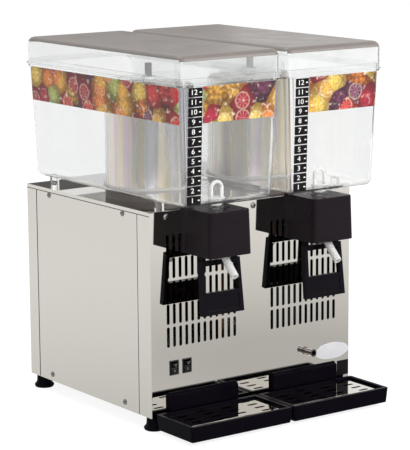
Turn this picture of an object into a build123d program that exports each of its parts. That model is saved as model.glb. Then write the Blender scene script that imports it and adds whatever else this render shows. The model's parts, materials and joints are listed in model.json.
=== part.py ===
from build123d import *
import os
from math import cos, pi, radians, sin, tan

# Refrigerated juice dispenser with two lift-off tanks, in millimetres.
# +X points right, +Y back and +Z up. The origin lies on the counter under the middle of the machine.

# Cabinet of folded sheet
cabinet_width = 420.0
cabinet_depth = 381.0
foot_height = 24.0
deck_top = 366.5
sheet = 1.2
deck_sheet = 1.5
deck_lip = 6.0
deck_edge = 0.8
bend_radius = 2.0
front_return = 35.0
rear_return = 32.0
seam = 0.6
joggle_width = 10.0
pan_flange = 20.0
frame_height = 18.0
frame_shelf = 14.0

# Feet, flared at the bottom
foot_radius = 17.5
foot_neck_radius = 12.5
foot_flange = 8.0
foot_edge = 2.0
foot_flare = 1.5
foot_inset = 17.0

# The two drink modules stand side by side, a little wider apart than the halves of the cabinet
module_spread = 4.0

# Air slots in the front panel, one field under each tank
slot_columns = 12
slot_rows = 5
slot_pitch_x = 12.3
slot_pitch_z = 38.4
slot_width = 5.8
slot_length = 34.2
slot_field_z = 232.6

# Vents in the rear panel
vent_columns = 8
vent_rows = 2
vent_pitch_x = 34.0
vent_pitch_z = 90.0
vent_width = 9.0
vent_length = 76.0
vent_field_z = 190.0

# Rocker switches
switch_inset = 46.2
switch_pitch = 25.9
switch_z = 103.7
bezel_width = 18.0
bezel_height = 25.0
bezel_proud = 2.0
switch_body_width = 15.2
switch_body_height = 22.6
switch_body_depth = 19.0
rocker_width = 12.6
rocker_height = 18.4
rocker_gap = 0.3
rocker_pocket_height = 20.6
rocker_pocket_depth = 11.0
rocker_swing = 20.0
rocker_ridge = 0.6
rocker_end = 3.0
rocker_back = 3.0
rocker_back_slope = 1.0
rocker_back_edge = 2.0
rocker_pivot_depth = 4.0

# Drain tube at the front and lead gland at the back
drain_inset = 94.4
drain_z = 89.2
drain_radius = 6.5
drain_wall = 1.6
drain_reach = 18.5
drain_neck = 5.0
drain_neck_radius = 5.5
drain_inside = 14.0
drain_nut_radius = 9.0
drain_nut_height = 5.0
gland_inset = 60.0
gland_z = 62.0
gland_radius = 9.0
gland_bore = 4.5
gland_nut_radius = 12.0
gland_nut_height = 5.0
gland_reach = 12.0
gland_taper = 2.0
hole_clearance = 0.2

# Tanks
tank_overhang = 66.0
tank_front_reach = 77.0
tank_taper_x = 18.0
tank_taper_y = 9.0
tank_corner = 11.0
tank_floor_edge = 9.0
tank_wall = 3.0
tank_lift = 15.5
tank_height = 206.0
tank_bead = 3.5
tank_bead_height = 3.2
tank_bead_drop = 12.5
tank_leg_inset = 14.0
tank_leg_front = 10.0
tank_leg_rear = 50.0
tank_leg_width = 11.0
tank_leg_depth = 14.0

# Lids
lid_clearance = 1.0
lid_wall = 2.5
lid_corner = 14.5
lid_rise = 37.0
lid_edge = 12.5
lid_flange = 3.0
lid_flange_height = 3.0
lid_gap = 3.0

# Evaporator drums, their seals and stirrers
drum_margin = 16.0
drum_wall = 1.5
drum_height = 190.0
drum_edge = 6.0
drum_tube_radius = 7.5
drum_tube_wall = 1.5
drum_hole_radius = 22.0
pipe_hole_radius = 12.0
pipe_hole_offset = 52.0
seal_gap = 0.1
seal_ledge = 3.0
seal_wall = 2.0
seal_lip = 3.0
seal_spigot = 7.0
seat_clearance = 0.3
stirrer_shaft_radius = 4.0
stirrer_hub_radius = 13.0
stirrer_hub_height = 12.0
stirrer_knob_radius = 6.0
stirrer_knob_height = 22.0
stirrer_knob_edge = 1.0
stirrer_gap = 0.5
paddle_reach = 62.0
paddle_height = 16.0
paddle_thickness = 3.0
paddle_bow = 8.0
running_clearance = 0.05
motor_width = 74.0
motor_depth = 58.0
motor_corner = 12.0
motor_gear_height = 30.0
motor_can_radius = 26.0
motor_can_height = 38.0
motor_boss_radius = 9.0
motor_boss_height = 8.0
motor_socket = 12.0

# Outlet of each tank and its plug
outlet_reach = 42.0
outlet_radius = 9.0
nozzle_radius = 13.0
nozzle_drop = 20.0
plug_flange_radius = 14.0
plug_flange_height = 3.0
plug_stem = 10.0
loop_radius = 10.5
loop_wire = 3.0
loop_height = 31.0
loop_root = 1.0

# Taps
housing_top_width = 81.7
housing_bottom_width = 86.0
housing_depth = 83.0
housing_draft = 1.5
housing_top = 370.0
housing_height = 74.0
housing_wall = 3.0
housing_corner = 8.0
housing_edge = 1.5
pivot_reach = 34.0
pivot_drop = 38.0
pin_radius = 2.5
lever_lean = 6.0
lever_gap = 9.0
lever_reach = 53.0
lever_side_gap = 1.35
lever_spread = 4.0
lever_height = 89.0
lever_depth = 10.0
lever_skin = 3.0
lever_bar = 8.5
lever_stile = 7.0
lever_pad_height = 37.0
lever_pad_dish = 1.2
lever_pad_margin = 7.0
lever_arm_thickness = 6.0
lever_arm_gap = 8.85
lever_arm_inset = 1.0
lever_eye_radius = 6.5
lever_tail = 22.0
lever_tail_bar = 12.0
lever_tail_height = 6.0
nose_width = 24.0
nose_reach = 4.0
spring_radius = 4.5
spring_wire = 0.8
spring_turns = 3
spring_steps = 8
cup_wall = 2.5
cup_floor = 3.0
spout_radius = 6.5
spout_bore = 4.5
spout_straight = 22.0
spout_knee_reach = 66.0
spout_knee_drop = 80.0
spout_tip_reach = 93.0
spout_tip_drop = 106.0
spout_bend = 16.0

# Drip trays, their brackets and grids
tray_inset = 1.5
tray_gap = 3.0
tray_reach = 110.0
tray_bottom = 6.8
tray_height = 26.5
tray_corner = 4.0
tray_rim = 7.0
tray_ledge = 5.0
tray_floor = 2.5
tray_draft = 2.0
grid_sink = 4.0
grid_sheet = 1.5
grid_clearance = 0.5
grid_columns = 4
grid_rows = 4
grid_border = 17.5
grid_pitch_y = 20.0
grid_slot_length = 20.0
grid_slot_width = 6.5
bracket_width = 138.0
bracket_top = 63.0
bracket_thickness = 8.0
bracket_slope = 5.0
bracket_gap = 0.5
tongue_width = 20.0
tongue_thickness = 3.0
tongue_length = 80.0
tongue_x = 50.0

# Refrigeration
compressor_offset = 12.0
compressor_rear = 105.0
compressor_radius = 60.0
compressor_height = 150.0
compressor_dome = 30.0
compressor_rim = 3.0
compressor_plate = 2.5
compressor_ear = 52.0
grommet_radius = 10.0
grommet_waist = 8.0
grommet_height = 12.0
stub_radius = 6.0
stub_length = 14.0
discharge_height = 95.0
suction_offset = 25.0
line_radius = 4.0
line_bend = 10.0
line_rise = 20.0
line_spread = 4.5
capillary_radius = 1.5
capillary_pitch = 6.0
condenser_margin = 34.0
condenser_core = 26.0
condenser_depth = 44.0
condenser_height = 150.0
condenser_setback = 22.0
condenser_raise = 22.0
condenser_plate = 2.0
condenser_stub = 6.0
fin_count = 11
fin_thickness = 2.0
drier_gap = 54.0
drier_radius = 10.0
drier_bottom = 115.0
drier_height = 90.0
drier_taper = 10.0
shroud_sheet = 2.0
shroud_ring = 18.0
shroud_ring_wall = 2.0
fan_radius = 66.0
fan_tip_gap = 5.0
fan_z = 125.0
fan_blade_count = 5
fan_hub_radius = 18.0
fan_hub_length = 20.0
fan_hub_edge = 2.0
fan_blade_root = 16.0
fan_blade_chord = 32.0
fan_blade_shoulder = 50.0
fan_blade_lead = 8.0
fan_blade_trail = 11.0
fan_blade_pitch = 30.0
fan_blade_thickness = 2.0
fan_gap = 8.0
fan_shaft_radius = 3.0
fan_shaft_recess = 5.0
fan_motor_radius = 32.0
fan_motor_length = 45.0
fan_bracket_width = 60.0
fan_bracket_sheet = 3.0
fan_bracket_foot = 30.0
thermostat_inset = 45.0
thermostat_setback = 45.0
thermostat_width = 40.0
thermostat_depth = 36.0
thermostat_height = 42.0
thermostat_corner = 4.0
spindle_radius = 3.0
spindle_length = 14.0

# Flats that a round takes, by its size, and steps of a rounded corner
fine_sides = 32
round_sides = 16
small_sides = 12
line_sides = 8
nut_side_count = 6
wire_sides = 4
corner_steps = 3
edge_steps = 2
point_gap = 0.1

# Places that follow from the sizes above
front_y = (tray_reach - cabinet_depth - gland_reach) / 2
rear_y = front_y + cabinet_depth
middle_y = (front_y + rear_y) / 2
half_width = cabinet_width / 2
module_pitch = half_width + module_spread
switch_x = -half_width + switch_inset
drain_x = half_width - drain_inset
gland_x = half_width - gland_inset
panel_top = deck_top - deck_lip
deck_underside = deck_top - deck_sheet
pan_top = foot_height + sheet
tank_top_width = module_pitch - lid_gap - 2 * (lid_clearance + lid_wall + lid_flange)
tank_bottom_width = tank_top_width - tank_taper_x
tank_bottom_depth = cabinet_depth + tank_overhang
tank_top_depth = tank_bottom_depth + tank_taper_y
tank_leg_x = tank_bottom_width / 2 - tank_leg_inset
tank_floor = deck_top + tank_lift
tank_inside = tank_floor + tank_wall
tank_top = tank_floor + tank_height
tank_y = front_y - tank_front_reach + tank_bottom_depth / 2
drum_y = tank_y
drum_radius = tank_bottom_width / 2 - drum_margin
lid_bottom = tank_top - tank_bead_drop + tank_bead_height
lid_top = tank_top + lid_rise
outlet_y = front_y - outlet_reach
pivot_y = front_y - pivot_reach
pivot_z = housing_top - pivot_drop
housing_bottom = housing_top - housing_height
housing_roof = housing_top - housing_wall
lever_top_z = housing_bottom - lever_gap
lever_top_width = housing_top_width - 2 * lever_side_gap
lever_bottom_width = lever_top_width + lever_spread
lever_arm_x = housing_top_width / 2 - lever_arm_gap
tray_pitch = half_width - tray_inset
tray_width = tray_pitch - tray_gap
tray_top = tray_bottom + tray_height
grid_top = tray_top - grid_sink
modules = (("left", -module_pitch / 2), ("right", module_pitch / 2))
trays = (("left", -tray_pitch / 2), ("right", tray_pitch / 2))
panel_face = Plane.XZ.offset(-front_y)
rear_face = Plane.XZ.offset(-rear_y)

os.makedirs("parts", exist_ok=True)


def save(piece, name):
    """Labels a finished piece and writes it."""
    piece.part.label = name
    export_step(piece.part, f"parts/{name}.step")


def block(low, high, mode=Mode.ADD):
    """A plain plate or bar between two opposite corners."""
    size = [b - a for a, b in zip(low, high)]
    with Locations(low):
        Box(*size, align=(Align.MIN, Align.MIN, Align.MIN), mode=mode)


def skin(rings, closed=False, mode=Mode.ADD):
    """A solid with flat facets between matching rings of points, capped at its ends or closed on itself."""
    pairs = list(zip(rings, rings[1:]))
    faces = []
    if closed:
        pairs.append((rings[-1], rings[0]))
    else:
        faces = [Face(Wire.make_polygon(rings[0])), Face(Wire.make_polygon(rings[-1]))]
    for low, high in pairs:
        for i in range(len(low)):
            faces.append(Face(Wire.make_polygon([low[i - 1], low[i], high[i], high[i - 1]])))
    add(Solid(Shell(faces)), mode=mode)


def turned(base, outline, sides, closed=False, mode=Mode.ADD):
    """A round piece about the normal of a plane, from the (distance, radius) steps of its outline."""
    turns = [2 * pi * i / sides for i in range(sides)]
    rings = []
    for distance, radius in outline:
        level = base.offset(distance)
        rings.append([level.from_local_coords(Vector(radius * cos(t), radius * sin(t))) for t in turns])
    skin(rings, closed, mode)


def upright(x, y):
    """Plane of an upright round piece, so that its distances are heights."""
    return Plane(origin=(x, y, 0))


def lying(x, y, z):
    """Plane of a round piece whose line runs back from x, y, z."""
    return Plane(origin=(x, y, z), x_dir=(1, 0, 0), z_dir=(0, 1, 0))


def eased(corners, radius, steps, closed=False):
    """Corner points with each corner rounded in straight steps. A radius of None leaves it sharp."""
    radii = radius if isinstance(radius, list) else [radius] * len(corners)
    result = []
    for index, corner in enumerate(corners):
        here = Vector(*corner)
        if radii[index] is None or (not closed and index in (0, len(corners) - 1)):
            result.append(here)
            continue
        back = (Vector(*corners[index - 1]) - here).normalized()
        ahead = (Vector(*corners[(index + 1) % len(corners)]) - here).normalized()
        half = radians(back.get_angle(ahead)) / 2
        centre = here + (back + ahead).normalized() * (radii[index] / sin(half))
        start = here + back * (radii[index] / tan(half)) - centre
        end = here + ahead * (radii[index] / tan(half)) - centre
        turn = pi - 2 * half
        for step in range(steps + 1):
            share = turn * step / steps
            point = centre + (start * sin(turn - share) + end * sin(share)) * (1 / sin(turn))
            if not result or (point - result[-1]).length > point_gap:
                result.append(point)
    return result


def quarter_round(radius):
    """(inset, rise) steps of a rounded edge, from the flat face out to the wall."""
    turns = [pi / 2 * i / edge_steps for i in range(edge_steps + 1)]
    return [(radius * (1 - sin(t)), radius * (1 - cos(t))) for t in turns]


def soft_box(x, y, rows, mode=Mode.ADD):
    """An upright box with rounded corners from its (height, width, depth, corner radius) rows."""
    rings = []
    for z, width, depth, corner in rows:
        right = width / 2
        back = depth / 2
        corners = [(x - right, y - back, z), (x + right, y - back, z),
                   (x + right, y + back, z), (x - right, y + back, z)]
        rings.append(eased(corners, corner, corner_steps, True))
    skin(rings, mode=mode)


def pipe(points, radius, sides, mode=Mode.ADD):
    """A rod or pipe of round section along straight runs."""
    with BuildLine() as route:
        Polyline(*points)
    with BuildSketch(Plane(origin=points[0], z_dir=points[1] - points[0])) as section:
        RegularPolygon(radius, sides)
    sweep(section.sketch, path=route.line, transition=Transition.RIGHT, mode=mode)


# Base pan with upturned edges
with BuildPart() as base_pan:
    block((-half_width + sheet, front_y + sheet, foot_height),
          (half_width - sheet, rear_y - sheet, foot_height + pan_flange))
    block((-half_width + 2 * sheet, front_y + 2 * sheet, pan_top),
          (half_width - 2 * sheet, rear_y - 2 * sheet, foot_height + pan_flange), Mode.SUBTRACT)
save(base_pan, "base_pan")

# Four flared feet
foot_x = half_width - foot_inset
with BuildPart() as feet:
    for x in (-foot_x, foot_x):
        for y in (front_y + foot_inset, rear_y - foot_inset):
            turned(upright(x, y), [(0, foot_radius - foot_edge), (foot_flange / 2, foot_radius),
                                   (foot_flange, foot_neck_radius + foot_flare),
                                   (foot_height, foot_neck_radius)],
                   round_sides)
save(feet, "feet")

# Front panel, folded back at both sides
with BuildPart() as front_panel:
    with BuildSketch(Plane.XY.offset(foot_height)) as front_fold:
        with Locations((0, front_y)):
            Rectangle(cabinet_width, front_return, align=(Align.CENTER, Align.MIN))
        fillet(front_fold.vertices().group_by(Axis.Y)[0], bend_radius)
        with Locations((0, front_y + sheet)):
            Rectangle(cabinet_width - 2 * sheet, front_return, align=(Align.CENTER, Align.MIN),
                      mode=Mode.SUBTRACT)
    extrude(amount=panel_top - foot_height)
    with BuildSketch(panel_face):
        for side, x in modules:
            with Locations((x, slot_field_z)):
                with GridLocations(slot_pitch_x, slot_pitch_z, slot_columns, slot_rows):
                    Rectangle(slot_width, slot_length)
        with Locations((switch_x, switch_z), (switch_x + switch_pitch, switch_z)):
            Rectangle(switch_body_width + 2 * hole_clearance, switch_body_height + 2 * hole_clearance)
        with Locations((drain_x, drain_z)):
            RegularPolygon(drain_neck_radius + hole_clearance, small_sides, major_radius=False)
    extrude(amount=-2 * sheet, mode=Mode.SUBTRACT)
save(front_panel, "front_panel")

# Rear panel, folded forwards at both sides, with vents and the gland hole
with BuildPart() as rear_panel:
    with BuildSketch(Plane.XY.offset(foot_height)) as rear_fold:
        with Locations((0, rear_y)):
            Rectangle(cabinet_width, rear_return, align=(Align.CENTER, Align.MAX))
        fillet(rear_fold.vertices().group_by(Axis.Y)[-1], bend_radius)
        with Locations((0, rear_y - sheet)):
            Rectangle(cabinet_width - 2 * sheet, rear_return, align=(Align.CENTER, Align.MAX),
                      mode=Mode.SUBTRACT)
    extrude(amount=panel_top - foot_height)
    with BuildSketch(rear_face):
        with Locations((0, vent_field_z)):
            with GridLocations(vent_pitch_x, vent_pitch_z, vent_columns, vent_rows):
                Rectangle(vent_width, vent_length)
        with Locations((gland_x, gland_z)):
            RegularPolygon(gland_radius + hole_clearance, small_sides)
    extrude(amount=2 * sheet, both=True, mode=Mode.SUBTRACT)
save(rear_panel, "rear_panel")

# Side panels, each with a joggled strip behind the seams
side_front = front_y + front_return + seam
side_rear = rear_y - rear_return - seam
strip_low = foot_height + pan_flange + seam
strip_high = deck_underside - frame_height - seam
for side, sign in (("left", -1), ("right", 1)):
    with BuildPart() as side_panel:
        faces = sorted((sign * half_width, sign * (half_width - sheet)))
        backs = sorted((sign * (half_width - sheet), sign * (half_width - 2 * sheet)))
        block((faces[0], side_front, foot_height), (faces[1], side_rear, panel_top))
        for seam_y in (side_front, side_rear):
            block((backs[0], seam_y - joggle_width, strip_low),
                  (backs[1], seam_y + joggle_width, strip_high))
    save(side_panel, f"{side}_side_panel")

# Angle frame under the deck
with BuildPart() as top_frame:
    frame_low = deck_underside - frame_height
    block((-half_width + sheet, front_y + sheet, frame_low),
          (half_width - sheet, rear_y - sheet, deck_underside))
    block((-half_width + 2 * sheet, front_y + 2 * sheet, frame_low),
          (half_width - 2 * sheet, rear_y - 2 * sheet, deck_underside - sheet), Mode.SUBTRACT)
    block((-half_width + sheet + frame_shelf, front_y + sheet + frame_shelf, frame_low),
          (half_width - sheet - frame_shelf, rear_y - sheet - frame_shelf, deck_underside), Mode.SUBTRACT)
save(top_frame, "top_frame")

# Top deck with a down-turned lip
with BuildPart() as top_deck:
    soft_box(0, middle_y, [(panel_top, cabinet_width, cabinet_depth, bend_radius),
                           (deck_top - deck_edge, cabinet_width, cabinet_depth, bend_radius),
                           (deck_top, cabinet_width - 2 * deck_edge, cabinet_depth - 2 * deck_edge,
                            bend_radius - deck_edge)])
    block((-half_width + sheet, front_y + sheet, panel_top),
          (half_width - sheet, rear_y - sheet, deck_underside), Mode.SUBTRACT)
    with BuildSketch(Plane.XY.offset(deck_top)):
        for side, x in modules:
            with Locations((x, drum_y)):
                RegularPolygon(drum_hole_radius, round_sides)
            with Locations((x, drum_y + pipe_hole_offset)):
                RegularPolygon(pipe_hole_radius, small_sides)
    extrude(amount=-2 * deck_sheet, mode=Mode.SUBTRACT)
save(top_deck, "top_deck")

# Drums, seals, stirrers and their motors
drum_top = deck_top + drum_height
boss_top = deck_top + motor_boss_height
hub_low = drum_top + stirrer_gap
hub_high = hub_low + stirrer_hub_height
for side, x in modules:
    drum_line = upright(x, drum_y)
    with BuildPart() as evaporator:
        bore = drum_tube_radius - drum_tube_wall
        inner = drum_radius - drum_wall
        roof = drum_top - drum_wall
        tube_low = boss_top + motor_socket
        shoulder = [(drum_top - rise, drum_radius - inset) for inset, rise in quarter_round(drum_edge)]
        turned(drum_line, [(deck_top, drum_radius)] + shoulder[::-1], fine_sides)
        turned(drum_line, [(deck_top, inner), (roof - drum_edge, inner), (roof, inner - drum_edge)],
               fine_sides, mode=Mode.SUBTRACT)
        turned(drum_line, [(tube_low, drum_tube_radius), (drum_top, drum_tube_radius)], small_sides)
        turned(drum_line, [(tube_low, bore), (drum_top, bore)], small_sides, mode=Mode.SUBTRACT)
    save(evaporator, f"evaporator_{side}")

    with BuildPart() as tank_seal:
        ring = drum_radius + seal_gap
        spigot = ring + seal_ledge - seat_clearance
        flange = spigot + seal_ledge
        neck = ring + seal_wall
        seal_top = tank_floor + seal_spigot
        turned(drum_line, [(deck_top, ring), (deck_top, neck), (tank_floor - seal_lip, neck),
                           (tank_floor - seal_lip / 2, flange), (tank_floor, flange), (tank_floor, spigot),
                           (seal_top, spigot), (seal_top, ring)], fine_sides, closed=True)
    save(tank_seal, f"tank_seal_{side}")

    with BuildPart() as stirrer_motor:
        soft_box(x, drum_y, [(deck_underside - motor_gear_height, motor_width, motor_depth, motor_corner),
                             (deck_underside, motor_width, motor_depth, motor_corner)])
        turned(drum_line, [(deck_underside - motor_gear_height - motor_can_height, motor_can_radius),
                           (deck_underside - motor_gear_height, motor_can_radius)], round_sides)
        turned(drum_line, [(deck_underside, motor_boss_radius), (boss_top, motor_boss_radius)], small_sides)
        with BuildSketch(Plane.XY.offset(boss_top)):
            with Locations((x, drum_y)):
                RegularPolygon(stirrer_shaft_radius + running_clearance, small_sides, major_radius=False)
        extrude(amount=-motor_socket, mode=Mode.SUBTRACT)
    save(stirrer_motor, f"stirrer_motor_{side}")

    with BuildPart() as stirrer:
        knob_top = hub_high + stirrer_knob_height
        turned(drum_line, [(hub_low, stirrer_hub_radius), (hub_high, stirrer_hub_radius),
                           (hub_high, stirrer_knob_radius),
                           (knob_top - stirrer_knob_edge, stirrer_knob_radius),
                           (knob_top, stirrer_knob_radius - stirrer_knob_edge)], round_sides)
        shaft_low = boss_top - motor_socket + seat_clearance
        with BuildSketch(Plane.XY.offset(shaft_low)):
            with Locations((x, drum_y)):
                Circle(stirrer_shaft_radius)
        extrude(amount=hub_low - shaft_low)
        stations = [i / corner_steps for i in range(corner_steps + 1)]
        near = [(paddle_reach * s, paddle_bow * sin(pi * s)) for s in stations]
        far = [(along, bow + paddle_thickness) for along, bow in near[::-1]]
        for turn in (1, -1):
            with BuildSketch(Plane(origin=(x, drum_y, hub_low), x_dir=(turn, 0, 0), z_dir=(0, 0, 1))):
                Polygon(*near, *far, align=None)
            extrude(amount=paddle_height)
    save(stirrer, f"stirrer_{side}")

# Clear tanks with their legs and outlet nozzles, lids and outlet plugs
slope_x = (tank_top_width - tank_bottom_width) / tank_height
slope_y = (tank_top_depth - tank_bottom_depth) / tank_height


def tank_row(z, inset, corner):
    """Height, width, depth and corner radius of the tapered tank, a little way in from its outer wall."""
    width = tank_bottom_width + slope_x * (z - tank_floor) - 2 * inset
    depth = tank_bottom_depth + slope_y * (z - tank_floor) - 2 * inset
    return (z, width, depth, corner - inset)


for side, x in modules:
    drum_line = upright(x, drum_y)
    outlet_line = upright(x, outlet_y)
    with BuildPart() as tank:
        edge = quarter_round(tank_floor_edge)
        outside = [tank_row(tank_floor + rise, inset, tank_corner) for inset, rise in edge]
        soft_box(x, tank_y, outside + [tank_row(tank_top, 0, tank_corner)])
        bead_low = tank_top - tank_bead_drop
        bead = (tank_top_width + 2 * tank_bead, tank_top_depth + 2 * tank_bead, tank_corner + tank_bead)
        soft_box(x, tank_y, [(bead_low, *bead), (bead_low + tank_bead_height, *bead)])
        edge = quarter_round(tank_floor_edge - tank_wall)
        hollow = [tank_row(tank_inside + rise, inset + tank_wall, tank_corner) for inset, rise in edge]
        soft_box(x, tank_y, hollow + [tank_row(tank_top, tank_wall, tank_corner)], Mode.SUBTRACT)
        for leg_x in (x - tank_leg_x, x + tank_leg_x):
            for leg_y in (front_y + tank_leg_front, rear_y - tank_leg_rear):
                block((leg_x - tank_leg_width / 2, leg_y - tank_leg_depth / 2, deck_top),
                      (leg_x + tank_leg_width / 2, leg_y + tank_leg_depth / 2, tank_inside))
        nozzle_low = tank_floor - nozzle_drop
        turned(outlet_line, [(nozzle_low, nozzle_radius), (tank_inside, nozzle_radius)], round_sides)
        turned(outlet_line, [(nozzle_low, outlet_radius), (tank_inside, outlet_radius)], round_sides,
               mode=Mode.SUBTRACT)
        hole = drum_radius + seal_gap + seal_ledge
        turned(drum_line, [(tank_floor, hole), (tank_inside, hole)], fine_sides, mode=Mode.SUBTRACT)
    save(tank, f"tank_{side}")

    with BuildPart() as lid:
        width = tank_top_width + 2 * (lid_clearance + lid_wall)
        depth = tank_top_depth + 2 * (lid_clearance + lid_wall)
        brim = (width + 2 * lid_flange, depth + 2 * lid_flange, lid_corner + lid_flange)
        brim_top = lid_bottom + lid_flange_height
        edge = [(lid_top - rise, width - 2 * inset, depth - 2 * inset, lid_corner - inset)
                for inset, rise in quarter_round(lid_edge)]
        soft_box(x, tank_y, [(lid_bottom, *brim), (brim_top, *brim), (brim_top, width, depth, lid_corner)]
                 + edge[::-1])
        hollow_width = width - 2 * lid_wall
        hollow_depth = depth - 2 * lid_wall
        hollow_corner = lid_corner - lid_wall
        ceiling = lid_top - lid_wall
        edge = [(ceiling - rise, hollow_width - 2 * inset, hollow_depth - 2 * inset, hollow_corner - inset)
                for inset, rise in quarter_round(lid_edge - lid_wall)]
        mouth = (lid_bottom, hollow_width, hollow_depth, hollow_corner)
        soft_box(x, tank_y, [mouth] + edge[::-1], Mode.SUBTRACT)
    save(lid, f"lid_{side}")

    with BuildPart() as outlet_plug:
        stem = outlet_radius - seat_clearance
        plug_top = tank_inside + plug_flange_height
        turned(outlet_line, [(tank_inside - plug_stem, stem), (tank_inside, stem),
                             (tank_inside, plug_flange_radius), (plug_top, plug_flange_radius)],
               round_sides)
        arch_top = tank_inside + loop_height - loop_wire
        arch_low = plug_top - loop_root
        arch = [(x - loop_radius, outlet_y, arch_low), (x - loop_radius, outlet_y, arch_top),
                (x + loop_radius, outlet_y, arch_top), (x + loop_radius, outlet_y, arch_low)]
        pipe(eased(arch, loop_radius, corner_steps), loop_wire, line_sides)
    save(outlet_plug, f"outlet_plug_{side}")

# Taps
lean = radians(lever_lean)
lever_up = Vector(0, sin(lean), cos(lean))
lever_front = Vector(0, -cos(lean), sin(lean))


def housing_ring(x, z, width, depth, corner):
    """One level of a tap housing, rounded at its two front corners and flat at the back."""
    corners = [(x - width / 2, front_y, z), (x - width / 2, front_y - depth, z),
               (x + width / 2, front_y - depth, z), (x + width / 2, front_y, z)]
    return eased(corners, [None, corner, corner, None], corner_steps, True)


for side, x in modules:
    outlet_line = upright(x, outlet_y)
    with BuildPart() as tap_housing:
        top_depth = housing_depth - housing_draft
        skin([housing_ring(x, housing_bottom, housing_bottom_width, housing_depth, housing_corner),
              housing_ring(x, housing_top - housing_edge, housing_top_width, top_depth, housing_corner),
              housing_ring(x, housing_top, housing_top_width - 2 * housing_edge, top_depth - housing_edge,
                           housing_corner - housing_edge)])
        hollow_corner = housing_corner - housing_wall
        skin([housing_ring(x, housing_bottom, housing_bottom_width - 2 * housing_wall,
                           housing_depth - housing_wall, hollow_corner),
              housing_ring(x, housing_roof, housing_top_width - 2 * housing_wall,
                           top_depth - housing_wall, hollow_corner)], mode=Mode.SUBTRACT)
        hole = nozzle_radius + seat_clearance
        turned(outlet_line, [(housing_roof, hole), (housing_top, hole)], round_sides, mode=Mode.SUBTRACT)
        with BuildSketch(Plane.YZ.offset(x)):
            with Locations((pivot_y, pivot_z)):
                RegularPolygon(pin_radius + running_clearance, small_sides, major_radius=False)
        extrude(amount=housing_bottom_width, both=True, mode=Mode.SUBTRACT)
    save(tap_housing, f"tap_housing_{side}")

    with BuildPart() as lever_pin:
        with BuildSketch(Plane.YZ.offset(x)):
            with Locations((pivot_y, pivot_z)):
                Circle(pin_radius)
        extrude(amount=housing_top_width / 2, both=True)
    save(lever_pin, f"lever_pin_{side}")

    with BuildPart() as lever:
        face = Plane(origin=(x, front_y - lever_reach, lever_top_z), x_dir=(1, 0, 0), z_dir=lever_front)
        stretch = lever_height / cos(lean)
        half_top = lever_top_width / 2
        half_bottom = lever_bottom_width / 2
        grow = (half_bottom - half_top) / stretch
        sill = lever_pad_height - stretch
        window_top = half_top - lever_stile + grow * lever_bar
        window_low = half_top - lever_stile - grow * sill
        with BuildSketch(face):
            Polygon((-half_top, 0), (-half_bottom, -stretch), (half_bottom, -stretch), (half_top, 0),
                    align=None)
            Polygon((-window_top, -lever_bar), (-window_low, sill), (window_low, sill),
                    (window_top, -lever_bar), align=None, mode=Mode.SUBTRACT)
        extrude(amount=-lever_depth)
        with BuildSketch(face.offset(-lever_depth)):
            with Locations((0, (sill - stretch) / 2)):
                Rectangle(lever_top_width - 2 * lever_skin, lever_pad_height - 2 * lever_skin)
        extrude(amount=lever_depth - 2 * lever_skin, mode=Mode.SUBTRACT)
        with BuildSketch(face):
            with Locations((0, (sill - stretch) / 2)):
                Rectangle(lever_top_width - 2 * lever_pad_margin, lever_pad_height - 2 * lever_pad_margin)
        extrude(amount=-lever_pad_dish, mode=Mode.SUBTRACT)
        with BuildSketch(face):
            with Locations((0, -lever_bar / 2)):
                Rectangle(nose_width, lever_bar)
        extrude(amount=nose_reach, taper=lever_lean)
        bar_centre = face.origin - lever_up * (lever_bar / 2) - lever_front * (lever_depth / 2)
        for arm_x in (x - lever_arm_x, x + lever_arm_x):
            with BuildSketch(Plane.YZ.offset(arm_x)):
                with Locations((pivot_y, pivot_z)):
                    RegularPolygon(lever_eye_radius, small_sides)
                with Locations((bar_centre.Y, bar_centre.Z)):
                    Rectangle(lever_depth - lever_arm_inset, lever_bar - lever_arm_inset,
                              rotation=-lever_lean)
                make_hull()
            extrude(amount=lever_arm_thickness / 2, both=True)
            block((arm_x - lever_arm_thickness / 2, pivot_y, pivot_z - lever_tail_height / 2),
                  (arm_x + lever_arm_thickness / 2, pivot_y + lever_tail, pivot_z + lever_tail_height / 2))
        block((x - lever_arm_x, pivot_y + lever_tail - lever_tail_bar, pivot_z - lever_tail_height / 2),
              (x + lever_arm_x, pivot_y + lever_tail, pivot_z + lever_tail_height / 2))
        with BuildSketch(Plane.YZ.offset(x)):
            with Locations((pivot_y, pivot_z)):
                RegularPolygon(pin_radius + running_clearance, small_sides, major_radius=False)
        extrude(amount=lever_top_width, both=True, mode=Mode.SUBTRACT)
    save(lever, f"lever_{side}")

    with BuildPart() as lever_spring:
        coil_y = pivot_y + lever_tail - lever_tail_bar / 2
        coil_low = pivot_z + lever_tail_height / 2 + spring_wire
        coil_rise = housing_roof - spring_wire - coil_low
        count = spring_turns * spring_steps
        turns = [2 * pi * i / spring_steps for i in range(count + 1)]
        rises = [coil_low + coil_rise * i / count for i in range(count + 1)]
        pipe([Vector(x + spring_radius * cos(t), coil_y + spring_radius * sin(t), z)
              for t, z in zip(turns, rises)], spring_wire, wire_sides)
    save(lever_spring, f"lever_spring_{side}")

    with BuildPart() as spout_tube:
        cup_low = tank_floor - nozzle_drop - seat_clearance
        cup = nozzle_radius + seat_clearance
        outside = cup + cup_wall
        turned(outlet_line, [(cup_low - cup_floor, outside), (housing_roof, outside)], round_sides)
        turned(outlet_line, [(cup_low, cup), (housing_roof, cup)], round_sides, mode=Mode.SUBTRACT)
        run = eased([(x, outlet_y, cup_low), (x, outlet_y, cup_low - spout_straight),
                     (x, front_y - spout_knee_reach, housing_top - spout_knee_drop),
                     (x, front_y - spout_tip_reach, housing_top - spout_tip_drop)],
                    spout_bend, corner_steps)
        pipe(run, spout_radius, small_sides)
        pipe(run, spout_bore, line_sides, Mode.SUBTRACT)
    save(spout_tube, f"spout_tube_{side}")

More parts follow.
